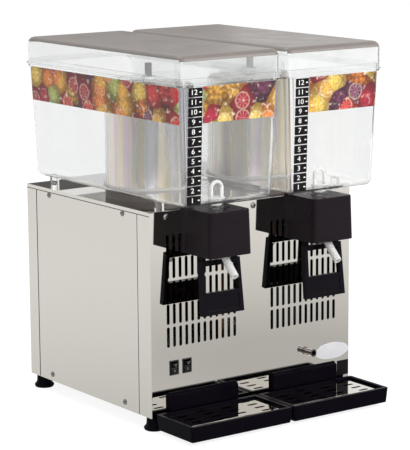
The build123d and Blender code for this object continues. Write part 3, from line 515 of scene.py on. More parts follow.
class Wiring:
    """The node tree of one material, with short calls for what the finishes share."""

    def __init__(self, name: str) -> None:
        """Starts a material with one Principled shader.

        Args:
            name: Name of the material.
        """
        self.material = bpy.data.materials.new(name)
        self.material.use_nodes = True
        self.tree = self.material.node_tree
        self.tree.nodes.clear()
        self.output = self.node("ShaderNodeOutputMaterial")
        self.shader = self.node("ShaderNodeBsdfPrincipled")
        self.link(self.shader.outputs[0], self.output.inputs["Surface"])

    def node(self, kind: str, inputs: Optional[dict[str, object]] = None,
             **settings: object) -> bpy.types.Node:
        """Adds a node.

        Args:
            kind: Blender's name of the node type.
            inputs: Values of its sockets by their names.
            settings: Its own properties.

        Returns:
            The new node.
        """
        made = self.tree.nodes.new(kind)
        for key, value in settings.items():
            setattr(made, key, value)
        for key, value in (inputs or {}).items():
            made.inputs[key].default_value = value
        return made

    def link(self, source: Socket, target: Socket) -> None:
        """Joins two sockets."""
        self.tree.links.new(source, target)

    def place(self, scale: Sequence[float], output: str = "Object") -> Socket:
        """Object or UV coordinates, stretched by a scale on each axis.

        Args:
            scale: Factor on each axis.
            output: Which coordinates, as Blender names them.

        Returns:
            The stretched coordinates.
        """
        coordinates = self.node("ShaderNodeTexCoord")
        mapping = self.node("ShaderNodeMapping", {"Scale": tuple(scale)})
        self.link(coordinates.outputs[output], mapping.inputs["Vector"])
        return mapping.outputs["Vector"]

    def noise(self, scale: float, detail: float = 3.0, place: Optional[Socket] = None) -> Socket:
        """A noise between 0 and 1.

        Args:
            scale: Its fineness.
            detail: Its finer layers.
            place: Where it is read, or nothing for plain Object coordinates.

        Returns:
            The value socket.
        """
        place = place or self.place((1.0, 1.0, 1.0))
        noise = self.node("ShaderNodeTexNoise", {"Scale": scale, "Detail": detail, "Roughness": 0.55})
        self.link(place, noise.inputs["Vector"])
        return noise.outputs["Fac"]

    def between(self, value: Socket, low: float, high: float,
                window: tuple[float, float] = (NOISE_LOW, NOISE_HIGH)) -> Socket:
        """A value brought from a window into a range.

        Args:
            value: The socket to read.
            low: Result at the window's start.
            high: Result at the window's end.
            window: Values that the range covers.

        Returns:
            The ranged value.
        """
        ranged = self.node("ShaderNodeMapRange", {"From Min": window[0], "From Max": window[1],
                                                  "To Min": low, "To Max": high})
        self.link(value, ranged.inputs["Value"])
        return ranged.outputs["Result"]

    def ramp(self, value: Socket, stops: Ramp, interpolation: str = "LINEAR") -> Socket:
        """Colours along a value.

        Args:
            value: The socket to read.
            stops: Positions and colours, in rising order.
            interpolation: Blender's name of the way between stops.

        Returns:
            The colour socket.
        """
        ramp = self.node("ShaderNodeValToRGB")
        ramp.color_ramp.interpolation = interpolation
        while len(ramp.color_ramp.elements) < len(stops):
            ramp.color_ramp.elements.new(1.0)
        for element, (position, colour) in zip(ramp.color_ramp.elements, stops):
            element.position = position
            element.color = (*colour, 1.0)
        self.link(value, ramp.inputs["Fac"])
        return ramp.outputs["Color"]

    def math(self, operation: str, first: object, second: object = 0.0) -> Socket:
        """One sum on sockets or numbers.

        Args:
            operation: Blender's name of the sum.
            first: First socket or value.
            second: Second socket or value.

        Returns:
            The result.
        """
        made = self.node("ShaderNodeMath", operation=operation)
        for index, value in enumerate((first, second)):
            if isinstance(value, Socket):
                self.link(value, made.inputs[index])
            else:
                made.inputs[index].default_value = value
        return made.outputs[0]

    def set(self, **values: object) -> None:
        """Feeds the shader's sockets, named with _ for a blank, by sockets or plain values.

        Args:
            values: Sockets or plain values by the names of the shader's inputs.
        """
        for key, value in values.items():
            target = self.shader.inputs[key.replace("_", " ")]
            if isinstance(value, Socket):
                self.link(value, target)
            else:
                target.default_value = value

    def shades(self, value: Socket, colour: Colour, low: float, high: float) -> Socket:
        """A colour that a noise varies between two factors."""
        return self.ramp(value, ((NOISE_LOW, tone(colour, low)), (NOISE_HIGH, tone(colour, high))))

    def veil(self, factor: Socket, below: Socket, above: Socket) -> Socket:
        """Mixes two shaders and shows the mix on the surface.

        Args:
            factor: Share of the second shader.
            below: The first shader.
            above: The second shader.

        Returns:
            The mixed shader.
        """
        mixed = self.node("ShaderNodeMixShader")
        self.link(factor, mixed.inputs["Fac"])
        self.link(below, mixed.inputs[1])
        self.link(above, mixed.inputs[2])
        self.link(mixed.outputs[0], self.output.inputs["Surface"])
        return mixed.outputs[0]

    def times(self, first: Socket, second: Socket) -> Socket:
        """Multiplies two colours.

        Args:
            first: One colour.
            second: The other colour.

        Returns:
            The product.
        """
        made = self.node("ShaderNodeMix", {"Factor": 1.0}, data_type="RGBA", blend_type="MULTIPLY")
        self.link(first, made.inputs[MIX_FIRST])
        self.link(second, made.inputs[MIX_SECOND])
        return made.outputs[MIX_RESULT]

    def mix(self, factor: Socket, first: object, second: object) -> Socket:
        """Mixes two colours, given as sockets or plain colours.

        Args:
            factor: Share of the second colour.
            first: First colour.
            second: Second colour.

        Returns:
            The mixed colour.
        """
        made = self.node("ShaderNodeMix", data_type="RGBA")
        self.link(factor, made.inputs["Factor"])
        for index, value in ((MIX_FIRST, first), (MIX_SECOND, second)):
            if isinstance(value, Socket):
                self.link(value, made.inputs[index])
            else:
                made.inputs[index].default_value = (*value, 1.0)
        return made.outputs[MIX_RESULT]

    def let_lamps_through(self, share: float) -> None:
        """Lets a share of the lamps' light pass the surface.

        Args:
            share: The share, from 0 to 1.
        """
        path = self.node("ShaderNodeLightPath")
        open_air = self.node("ShaderNodeBsdfTransparent", {"Color": (share, share, share, 1.0)})
        self.veil(path.outputs["Is Shadow Ray"], self.shader.outputs[0], open_air.outputs[0])

    def bump(self, height: Socket, strength: float, distance: float) -> None:
        """Raises the surface by a height, with the distance in millimetres.

        Args:
            height: Socket of the height.
            strength: Strength, from 0 to 1.
            distance: Full height in millimetres.
        """
        bump = self.node("ShaderNodeBump", {"Strength": strength, "Distance": distance * MM})
        self.link(height, bump.inputs["Height"])
        self.link(bump.outputs["Normal"], self.shader.inputs["Normal"])


def tone(colour: Colour, factor: float) -> Colour:
    """A colour made lighter or darker by a factor."""
    return tuple(min(1.0, c * factor) for c in colour)


@dataclass(frozen=True)
class SteelSheet:
    """Rolled sheet, from mirror bright to satin, with its grain along one axis."""

    name: str
    colour: Colour
    rough_low: float
    rough_high: float
    grain: tuple[float, float, float]
    grain_bump: float

    def make(self) -> bpy.types.Material:
        """Builds the material.

        Returns:
            The material.
        """
        w = Wiring(self.name)
        grain = w.noise(1.0, 4.0, w.place(self.grain))
        w.set(Base_Color=w.shades(grain, self.colour, 0.99, 1.01), Metallic=1.0,
              Roughness=w.between(grain, self.rough_low, self.rough_high))
        w.bump(w.math("MULTIPLY", grain, self.grain_bump), 1.0, 1.0)
        return w.material


@dataclass(frozen=True)
class MouldedPlastic:
    """Opaque moulded plastic or rubber with a fine sparked grain."""

    name: str
    colour: Colour
    rough_low: float
    rough_high: float
    grain_scale: float
    grain_bump: float
    shine: float = 0.5
    passes: float = 0.0
    cloud_scale: float = 22.0
    bump_strength: float = 0.35

    def make(self) -> bpy.types.Material:
        """Builds the material.

        Returns:
            The material.
        """
        w = Wiring(self.name)
        cloud = w.noise(self.cloud_scale)
        w.set(Base_Color=w.shades(cloud, self.colour, 0.93, 1.07), Specular_IOR_Level=self.shine,
              Roughness=w.between(cloud, self.rough_low, self.rough_high))
        w.bump(w.noise(self.grain_scale, 2.0), self.bump_strength, self.grain_bump)
        if self.passes > 0:
            w.let_lamps_through(self.passes)
        return w.material


@dataclass(frozen=True)
class ClearPlastic:
    """Clear moulded plastic that lamps shine through."""

    name: str
    tint: Colour
    roughness: float
    haze: float
    cloud_scale: float = 35.0
    refraction: float = 1.49
    passes: float = 0.94

    def make(self) -> bpy.types.Material:
        """Builds the material.

        Returns:
            The material.
        """
        w = Wiring(self.name)
        cloud = w.noise(self.cloud_scale)
        w.set(Base_Color=w.shades(cloud, self.tint, 0.985, 1.0), IOR=self.refraction,
              Roughness=w.between(cloud, 0.0, self.roughness), Transmission_Weight=1.0 - self.haze)
        w.let_lamps_through(self.passes)
        return w.material


@dataclass(frozen=True)
class MilkySilicone:
    """Cloudy silicone that light soaks into."""

    name: str
    colour: Colour
    through: float
    cloud_scale: float = 60.0
    soak: float = 0.3
    soak_depth: float = 4.0

    def make(self) -> bpy.types.Material:
        """Builds the material.

        Returns:
            The material.
        """
        w = Wiring(self.name)
        cloud = w.noise(self.cloud_scale)
        w.set(Base_Color=w.shades(cloud, self.colour, 0.93, 1.0), Roughness=w.between(cloud, 0.22, 0.38),
              Transmission_Weight=self.through, Subsurface_Weight=self.soak,
              Subsurface_Radius=(self.soak_depth * MM,) * 3)
        w.bump(cloud, 0.2, 0.1)
        return w.material


@dataclass(frozen=True)
class DrumSteel:
    """Polished drum with painted sheen: blue, yellow and violet streaks down its side stand in for the
    rainbow light seen on the steel through the clear tank.
    """

    name: str
    colour: Colour
    streak: tuple[float, float, float] = (48.0, 48.0, 1.44)
    # painted sheen: tints and darker bands in the base colour that stand for light, not for the steel's own
    # colour
    sheen: Ramp = (
        (0.32, (0.82, 0.82, 0.82)), (0.40, (0.80, 0.86, 1.12)), (0.46, (0.96, 0.96, 0.96)),
        (0.51, (1.04, 0.95, 0.68)), (0.56, (1.0, 1.0, 1.0)), (0.61, (1.0, 0.76, 0.98)),
        (0.68, (0.84, 0.84, 0.84)))

    def make(self) -> bpy.types.Material:
        """Builds the material.

        Returns:
            The material.
        """
        w = Wiring(self.name)
        streak = w.noise(1.0, 3.0, w.place(self.streak))
        # the streak noise paints the sheen tints into the base colour
        tints = [(at, tuple(a * b for a, b in zip(self.colour, share))) for at, share in self.sheen]
        w.set(Base_Color=w.ramp(streak, tints), Roughness=w.between(streak, 0.24, 0.32), Metallic=1.0)
        return w.material


@dataclass(frozen=True)
class PrintedBand:
    """A print of round slices and beads in juice colours, on UVs in metres."""

    name: str
    slice_size: float
    bead_size: float
    segments: int = 9
    flesh_radius: float = 0.4
    rind_radius: float = 0.42
    sliced_below: float = 0.36
    beaded_above: float = 0.66
    rind: Colour = (0.93, 0.84, 0.60)
    gleam: Colour = (0.95, 0.86, 0.70)
    palette: Ramp = (
        (0.0, (0.78, 0.26, 0.05)), (0.13, (0.60, 0.04, 0.04)), (0.33, (0.80, 0.58, 0.12)),
        (0.52, (0.40, 0.02, 0.05)), (0.64, (0.44, 0.50, 0.14)), (0.77, (0.20, 0.05, 0.12)),
        (0.87, (0.78, 0.43, 0.07)))
    round_off: Ramp = (
        (0.0, (1.0, 1.0, 1.0)), (0.12, (0.94, 0.94, 0.94)), (0.36, (0.8, 0.78, 0.76)),
        (0.5, (0.5, 0.46, 0.44)), (0.8, (0.3, 0.26, 0.26)))
    bead_shade: Ramp = (
        (0.0, (1.0, 1.0, 1.0)), (0.3, (0.8, 0.78, 0.78)), (0.6, (0.4, 0.36, 0.36)))
    mottle: Ramp = ((0.35, (0.62, 0.56, 0.56)), (0.6, (1.05, 1.05, 1.05)))

    @staticmethod
    def place(w: Wiring, size: float) -> Socket:
        """UV coordinates that count cells of a size in millimetres."""
        return w.place((1 / MM / size, 1 / MM / size, 1.0), "UV")

    @staticmethod
    def cells(w: Wiring, place: Socket, scatter: float) -> bpy.types.Node:
        """Cells of size 1 that are scattered over a flat place.

        Args:
            w: The material.
            place: Where the cells are read.
            scatter: How far they leave their rows.

        Returns:
            The node of the cells.
        """
        cells = w.node("ShaderNodeTexVoronoi", {"Scale": 1.0, "Randomness": scatter},
                       voronoi_dimensions="2D")
        w.link(place, cells.inputs["Vector"])
        return cells

    def pale(self, w: Wiring, place: Socket, cells: bpy.types.Node) -> Socket:
        """A factor for the pale rind and spokes of a slice.

        Args:
            w: The material.
            place: Where the cells are read.
            cells: The cells, with a slice in each.

        Returns:
            The factor's socket.
        """
        away = w.node("ShaderNodeVectorMath", operation="SUBTRACT")
        w.link(place, away.inputs[0])
        w.link(cells.outputs["Position"], away.inputs[1])
        split = w.node("ShaderNodeSeparateXYZ")
        w.link(away.outputs[0], split.inputs[0])
        turn = w.math("ARCTAN2", split.outputs["Y"], split.outputs["X"])
        spoke = w.math("ABSOLUTE", w.math("SINE", w.math("MULTIPLY", turn, self.segments / 2)))
        spokes = w.between(spoke, 0.0, 0.55, (0.35, 0.0))
        reach = cells.outputs["Distance"]
        off_rind = w.math("ABSOLUTE", w.math("SUBTRACT", reach, self.rind_radius))
        rind = w.between(off_rind, 0.0, 0.5, (0.06, 0.02))
        inside = w.math("LESS_THAN", reach, self.flesh_radius)
        return w.math("MAXIMUM", w.math("MULTIPLY", spokes, inside), rind)

    def make(self) -> bpy.types.Material:
        """Builds the material.

        Returns:
            The material.
        """
        w = Wiring(self.name)
        place = self.place(w, self.slice_size)
        cells = self.cells(w, place, 0.95)
        chance = w.node("ShaderNodeSeparateColor")
        w.link(cells.outputs["Color"], chance.inputs[0])
        flesh = w.ramp(chance.outputs[0], self.palette, "CONSTANT")
        sliced = w.math("LESS_THAN", chance.outputs[1], self.sliced_below)
        body = w.mix(w.math("MULTIPLY", self.pale(w, place, cells), sliced), flesh, self.rind)
        beads = self.cells(w, self.place(w, self.bead_size), 0.7)
        beaded = w.math("GREATER_THAN", chance.outputs[1], self.beaded_above)
        body = w.mix(beaded, body, w.times(flesh, w.ramp(beads.outputs["Distance"], self.bead_shade)))
        body = w.times(body, w.ramp(w.noise(7.0, 4.0, place), self.mottle))
        body = w.times(body, w.ramp(cells.outputs["Distance"], self.round_off))
        spot = w.between(w.noise(3.2, 2.0, place), 0.0, 0.55, (0.58, 0.74))
        w.set(Base_Color=w.mix(spot, body, self.gleam),
              Roughness=w.between(cells.outputs["Distance"], 0.30, 0.42, (0.0, 0.6)))
        return w.material


class Finish:
    """The finishes of the dispenser, each made once."""

    def __init__(self) -> None:
        """Builds every material."""
        steel, plastic = SteelSheet, MouldedPlastic
        bright, clear = (0.67, 0.645, 0.60), (0.965, 0.972, 0.97)
        self.mirror = steel("mirror_steel", bright, 0.02, 0.035, (4.0, 4.0, 4.0), 0.0).make()
        self.satin = steel("satin_steel", bright, 0.15, 0.22, (180.0, 180.0, 3.0), 0.001).make()
        self.plain = steel("zinc_steel", (0.45, 0.455, 0.46), 0.30, 0.45, (40.0, 40.0, 40.0), 0.01).make()
        self.screw = steel("screw_steel", (0.26, 0.25, 0.24), 0.18, 0.30, (90.0, 90.0, 90.0), 0.004).make()
        self.nickel = steel("dark_nickel", (0.10, 0.09, 0.09), 0.12, 0.24, (60.0, 60.0, 60.0), 0.004).make()
        # painted shade: copper darkened well below bare copper so the inside of the cabinet reads dark
        self.copper = steel("copper_line", (0.34, 0.17, 0.10), 0.28, 0.45, (30.0, 30.0, 30.0), 0.004).make()
        self.drum = DrumSteel("drum_steel", (0.76, 0.715, 0.66)).make()
        self.plate = plastic("plate_enamel", (0.56, 0.56, 0.59), 0.16, 0.24, 400.0, 0.01).make()
        self.black = plastic("black_plastic", (0.011, 0.0078, 0.0105), 0.24, 0.34, 1500.0, 0.03, 0.06).make()
        self.lever = plastic("lever_plastic", (0.0048, 0.0038, 0.006), 0.24, 0.34, 1500.0, 0.03, 0.05).make()
        self.tray = plastic("tray_plastic", (0.0020, 0.0013, 0.0036), 0.26, 0.38, 1300.0, 0.03, 0.03).make()
        self.switch = plastic("switch_plastic", (0.004, 0.004, 0.005), 0.16, 0.26, 1600.0, 0.02, 0.2).make()
        self.rubber = plastic("foot_rubber", (0.003, 0.0022, 0.004), 0.40, 0.55, 900.0, 0.06, 0.04).make()
        self.seal = plastic("seal_rubber", (0.13, 0.115, 0.11), 0.40, 0.55, 900.0, 0.04, 0.3).make()
        self.seal_lip = plastic("seal_lip", (0.42, 0.41, 0.39), 0.30, 0.45, 900.0, 0.04, 0.3).make()
        self.knob = plastic("knob_grey", (0.16, 0.165, 0.15), 0.20, 0.30, 1200.0, 0.02).make()
        self.dark = plastic("dark_plastic", (0.045, 0.047, 0.045), 0.30, 0.45, 1200.0, 0.03).make()
        # painted shade: the condenser is near black so the inside of the cabinet reads dark through the slots
        self.paint = plastic("condenser_paint", (0.020, 0.020, 0.021), 0.40, 0.60, 600.0, 0.05, 0.3).make()
        self.enamel = plastic("stove_enamel", (0.012, 0.012, 0.013), 0.25, 0.40, 500.0, 0.05, 0.3).make()
        # painted shade: near black sheet behind the rear vents that darkens the cabinet's inside
        self.gauze = plastic("vent_gauze", (0.006, 0.006, 0.006), 0.60, 0.80, 1400.0, 0.20, 0.1).make()
        self.ink = plastic("scale_black", (0.004, 0.003, 0.004), 0.30, 0.42, 800.0, 0.01, 0.12).make()
        self.figures = plastic("scale_white", (0.80, 0.80, 0.79), 0.35, 0.45, 800.0, 0.01).make()
        self.mark = plastic("switch_mark", (0.26, 0.27, 0.30), 0.35, 0.45, 800.0, 0.01).make()
        self.film = plastic("film_white", (0.90, 0.90, 0.89), 0.35, 0.45, 500.0, 0.01).make()
        self.lid_top = plastic("lid_taupe", (0.168, 0.148, 0.137), 0.30, 0.42, 1100.0, 0.04, 0.35, 0.6).make()
        self.clear = ClearPlastic("clear_plastic", clear, 0.03, 0.02).make()
        self.lid_clear = ClearPlastic("lid_plastic", clear, 0.03, 0.075).make()
        self.silicone = MilkySilicone("milky_silicone", (0.84, 0.84, 0.82), 0.35).make()
        self.band = PrintedBand("printed_band", 32.0, 8.5).make()


def dress(piece: Piece, *materials: bpy.types.Material) -> None:
    """Gives a piece its materials in order, in place of any it had.

    Args:
        piece: The piece to work on.
        materials: The materials.
    """
    piece.data.materials.clear()
    for material in materials:
        piece.data.materials.append(material)


def dress_second(piece: Piece, pick: Pick) -> None:
    """Gives the faces that are picked, by middle and normal, the piece's second material."""
    for face in piece.data.polygons:
        face.material_index = int(pick(face.center, face.normal))


def fit(piece: Piece, body: str, slot: Optional[str] = None,
        stands_for: Sequence[str] = ()) -> None:
    """Hands a finished piece to the frame.

    Args:
        piece: The piece, in place.
        body: CAD body that it rides on.
        slot: The record's material slot; not used.
        stands_for: CAD nodes that it replaces.
    """
    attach(piece, body)
    if stands_for:
        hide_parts(*stands_for)
    log.info("%s rides on %s with %d faces", piece.name, body, len(piece.data.polygons))


def fit_both(piece: Piece, name: str, body: str, slot: str, node: str,
             shift: Vector) -> list[tuple[Side, Piece]]:
    """Copies a left piece to the right and hands both to the frame.

    Args:
        piece: The left piece, in place and dressed.
        name: Name of the pieces, with {} for the side.
        body: CAD body that each rides on, with {} for the side.
        slot: The record's material slot.
        node: CAD node that each replaces, with {} for the side.
        shift: Way from the left one to the right one in metres.

    Returns:
        Each side with its piece.
    """
    twin = Bench.copy(piece, name.format(Side.RIGHT.word), shift)
    pair = [(Side.LEFT, piece), (Side.RIGHT, twin)]
    for side, made in pair:
        fit(made, body.format(side.word), slot, [node.format(side.word)])
    return pair


@dataclass
class Cabinet:
    """The cabinet's front panel, feet, screws, painted seam shadows, painted shade behind the vents and bare
    plates, in millimetres.
    """

    half_width: float = 210.0
    front: float = -141.5
    rear: float = 239.5
    low: float = 24.0
    high: float = 360.5
    sheet: float = 1.2
    fold: float = 35.0
    bend: float = 2.0
    slot_size: tuple[float, float] = (5.8, 34.2)
    slot_pitch: tuple[float, float] = (12.3, 38.4)
    slot_count: tuple[int, int] = (12, 5)
    slot_middle: float = 232.6
    switch_x: tuple[float, float] = (-163.8, -137.9)
    switch_z: float = 103.7
    drain: tuple[float, float, float] = (115.6, 89.2, 5.9)
    foot_inset: float = 17.0
    vents: tuple[float, float] = (133.0, 88.0)
    vent_middle: float = 190.0
    vent_fold: float = 5.0
    seams: Pairs = ((-106.2, 1.3), (207.2, 2.0))
    # half thickness of the painted seam shadow strips
    lip: float = 0.2
    lip_edge: float = 0.15
    punch: float = 5.0
    switch_hole: tuple[float, float] = (15.6, 23.0)
    foot: Pairs = (
        (0, 15.3), (0.8, 16.3), (3.2, 17.3), (4.2, 17.5), (5.4, 17.0), (7.0, 15.2), (8.8, 13.9),
        (12, 13.0), (24, 12.5))
    screw_head: Pairs = (
        (-0.2, 4.9), (0.4, 5.1), (1.2, 4.6), (1.9, 3.2), (2.2, 1.6))
    screw_slot: tuple[float, float, float, float] = (5.0, 1.1, 1.2, 3.2)
    side_screws: Pairs = (
        (-63.5, 36.0), (-63.5, 355.5), (165.5, 36.0), (165.5, 355.5))
    front_screws: tuple[float, float, float] = (-177.0, 0.0, 177.0)
    front_screw_z: float = 356.7
    oval: Pairs = ((0, 14.5), (0.7, 14.5), (1.0, 14.1))
    oval_spot: tuple[float, float] = (171.0, 81.6)
    oval_stretch: float = 73.0 / 29.0
    label_x: tuple[float, float] = (183.0, 208.0)
    label_z: tuple[float, float] = (34.5, 61.0)
    label_depth: float = 0.5

    def through(self, name: str, x: float, z: float, size: tuple[float, float]) -> Piece:
        """A block that goes through the front panel.

        Args:
            name: Name of the block.
            x: Its middle across the panel.
            z: Its middle height.
            size: Its width and height.

        Returns:
            The block.
        """
        width, height = size
        return Bench.block(name, mm(x - width / 2, self.front - self.punch, z - height / 2),
                           mm(x + width / 2, self.front + self.punch, z + height / 2))

    def front_panel(self, finish: Finish) -> None:
        """Folds the front panel and punches its air slots and its holes for switches and drain.

        Args:
            finish: The finishes.
        """
        panel = Bench.block("front_panel_sheet", mm(-self.half_width, self.front, self.low),
                            mm(self.half_width, self.front + self.fold, self.high))
        Bench.drop_faces(panel, lambda c, n: n.y > ALONG or abs(n.z) > ALONG)
        Bench.round_edges(panel, lambda m, d: abs(d.z) > ALONG and m.y < (self.front + 1) * MM, self.bend, 5)
        Bench.thicken(panel, self.sheet)
        columns, rows = self.slot_count
        across, up = self.slot_pitch
        punch = self.through("slot_punch", Side.LEFT.value - (columns - 1) / 2 * across,
                             self.slot_middle - (rows - 1) / 2 * up, self.slot_size)
        Bench.round_edges(punch, runs(Axis.Y), self.slot_size[0] / 2 - NEAR_HALF, 5)
        for count, step in ((columns, mm(across, 0, 0)), (rows, mm(0, 0, up)), (2, MODULE_SHIFT)):
            Bench.repeat(punch, count, step)
        Bench.combine(panel, punch, "DIFFERENCE")
        for x in self.switch_x:
            punch = self.through("switch_punch", x, self.switch_z, self.switch_hole)
            Bench.combine(panel, punch, "DIFFERENCE")
        x, z, radius = self.drain
        punch = Bench.turned("drain_punch", Vector(), ((-self.punch, radius), (self.punch, radius)), 32)
        Bench.place(punch, Matrix.Translation(mm(x, self.front, z)) @ FACE_FRONT)
        Bench.combine(panel, punch, "DIFFERENCE")
        Bench.smooth(panel)
        dress(panel, finish.mirror)
        fit(panel, "cabinet", "polished_steel", ["front_panel"])

    def feet(self, finish: Finish) -> None:
        """Turns one flared foot and sets copies under the other corners.

        Args:
            finish: The finishes.
        """
        x = self.half_width - self.foot_inset
        front, rear = self.front + self.foot_inset, self.rear - self.foot_inset
        first = Bench.turned("feet_moulded", mm(-x, front, 0), self.foot, 48)
        Bench.smooth(first, 40)
        shifts = (mm(0, rear - front, 0), mm(2 * x, 0, 0), mm(2 * x, rear - front, 0))
        copies = [Bench.copy(first, f"foot_{i}", shift) for i, shift in enumerate(shifts)]
        feet = Bench.join([first, *copies], "feet_moulded")
        dress(feet, finish.rubber)
        fit(feet, "cabinet", "black_rubber", ["feet"])

    def screws(self, finish: Finish) -> None:
        """Turns one pan-head screw with a crossed slot and sets copies along the panels.

        Args:
            finish: The finishes.
        """
        head = Bench.turned("screw_head", Vector(), self.screw_head, 24)
        length, width, low, high = self.screw_slot
        for turn in (0.0, QUARTER):
            slot = Bench.block("screw_slot", mm(-length / 2, -width / 2, low),
                               mm(length / 2, width / 2, high))
            Bench.place(slot, Matrix.Rotation(turn, 4, "Z"))
            Bench.combine(head, slot, "DIFFERENCE")
        Bench.smooth(head, 40)
        spots = []
        for y, z in self.side_screws:
            for hand in (-1, 1):
                spots.append((mm(hand * self.half_width, y, z), Matrix.Rotation(hand * QUARTER, 4, "Y")))
        spots += [(mm(x, self.front, self.front_screw_z), FACE_FRONT) for x in self.front_screws]
        placed = []
        for index, (spot, turn) in enumerate(spots):
            copy = Bench.copy(head, f"screw_{index}", Vector())
            placed.append(Bench.place(copy, Matrix.Translation(spot) @ turn))
        bpy.data.objects.remove(head, do_unlink=True)
        screws = Bench.join(placed, "panel_screws")
        dress(screws, finish.screw)
        fit(screws, "cabinet", "plain_steel")

    def plates(self, finish: Finish) -> None:
        """Makes the bare oval plate and the small dark plate low on the right of the panel.

        Args:
            finish: The finishes.
        """
        oval = Bench.turned("oval_plate", Vector(), self.oval, 72)
        x, z = self.oval_spot
        stretch = Matrix.Diagonal((self.oval_stretch, 1.0, 1.0, 1.0))
        Bench.place(oval, Matrix.Translation(mm(x, self.front, z)) @ FACE_FRONT @ stretch)
        Bench.smooth(oval, 50)
        dress(oval, finish.plate)
        fit(oval, "cabinet", "satin_steel")
        (left, right), (low, high) = self.label_x, self.label_z
        label = Bench.block("dark_plate", mm(left, self.front - self.label_depth, low),
                            mm(right, self.front, high))
        Bench.round_edges(label, runs(Axis.Y), 1.5, 4)
        Bench.round_edges(label, lambda m, d: abs(d.y) < 0.1 and m.y < (self.front - 0.4) * MM, 0.15, 2)
        dress(label, finish.ink)
        fit(label, "cabinet", "black_plastic")

    def seam_lips(self, finish: Finish) -> None:
        """Lays a thin dark strip as painted shadow in each upright seam of the side panels and under the
        deck's edge.

        Args:
            finish: The finishes.
        """
        # painted shadow: dark strips where the seams and the deck's lip would show shade
        rows = [(Axis.Y, self.front + 0.5, self.rear - 0.5, self.high - 0.8, self.high + 0.4)]
        for y, width in self.seams:
            rows.append((Axis.Z, y - width / 2, y + width / 2, self.low + 1, self.high - 1))
        shadow_strips = []
        for x in (-self.half_width, self.half_width):
            for axis, near, far, low, high in rows:
                lip = Bench.block("lip", mm(x - self.lip, near, low), mm(x + self.lip, far, high))
                Bench.round_edges(lip, runs(axis), self.lip_edge, 2)
                shadow_strips.append(lip)
        joined = Bench.join(shadow_strips, "panel_seam_lips")
        dress(joined, finish.rubber)
        fit(joined, "cabinet", "black_rubber")

    def vent_gauze(self, finish: Finish) -> None:
        """Hangs a dark gauze inside the rear vents, with a folded edge all round, as painted shade that keeps
        the inside dark through the slots.

        Args:
            finish: The finishes.
        """
        half, high = self.vents
        y = self.rear - self.sheet
        gauze = Bench.block("vent_gauze", mm(-half, y - 1.0, self.vent_middle - high),
                            mm(half, y - 0.3, self.vent_middle + high))
        Bench.choose(gauze, Part.FACES, lambda c, n: n.y < -ALONG)
        bpy.ops.mesh.inset(thickness=self.vent_fold * MM)
        bpy.ops.transform.translate(value=mm(0, 0.4, 0))
        Bench.done()
        dress(gauze, finish.gauze)
        fit(gauze, "cabinet", "black_plastic")

    def build(self, finish: Finish) -> None:
        """Builds all of the cabinet's pieces.

        Args:
            finish: The finishes.
        """
        self.front_panel(finish)
        self.feet(finish)
        self.screws(finish)
        self.plates(finish)
        self.seam_lips(finish)
        self.vent_gauze(finish)


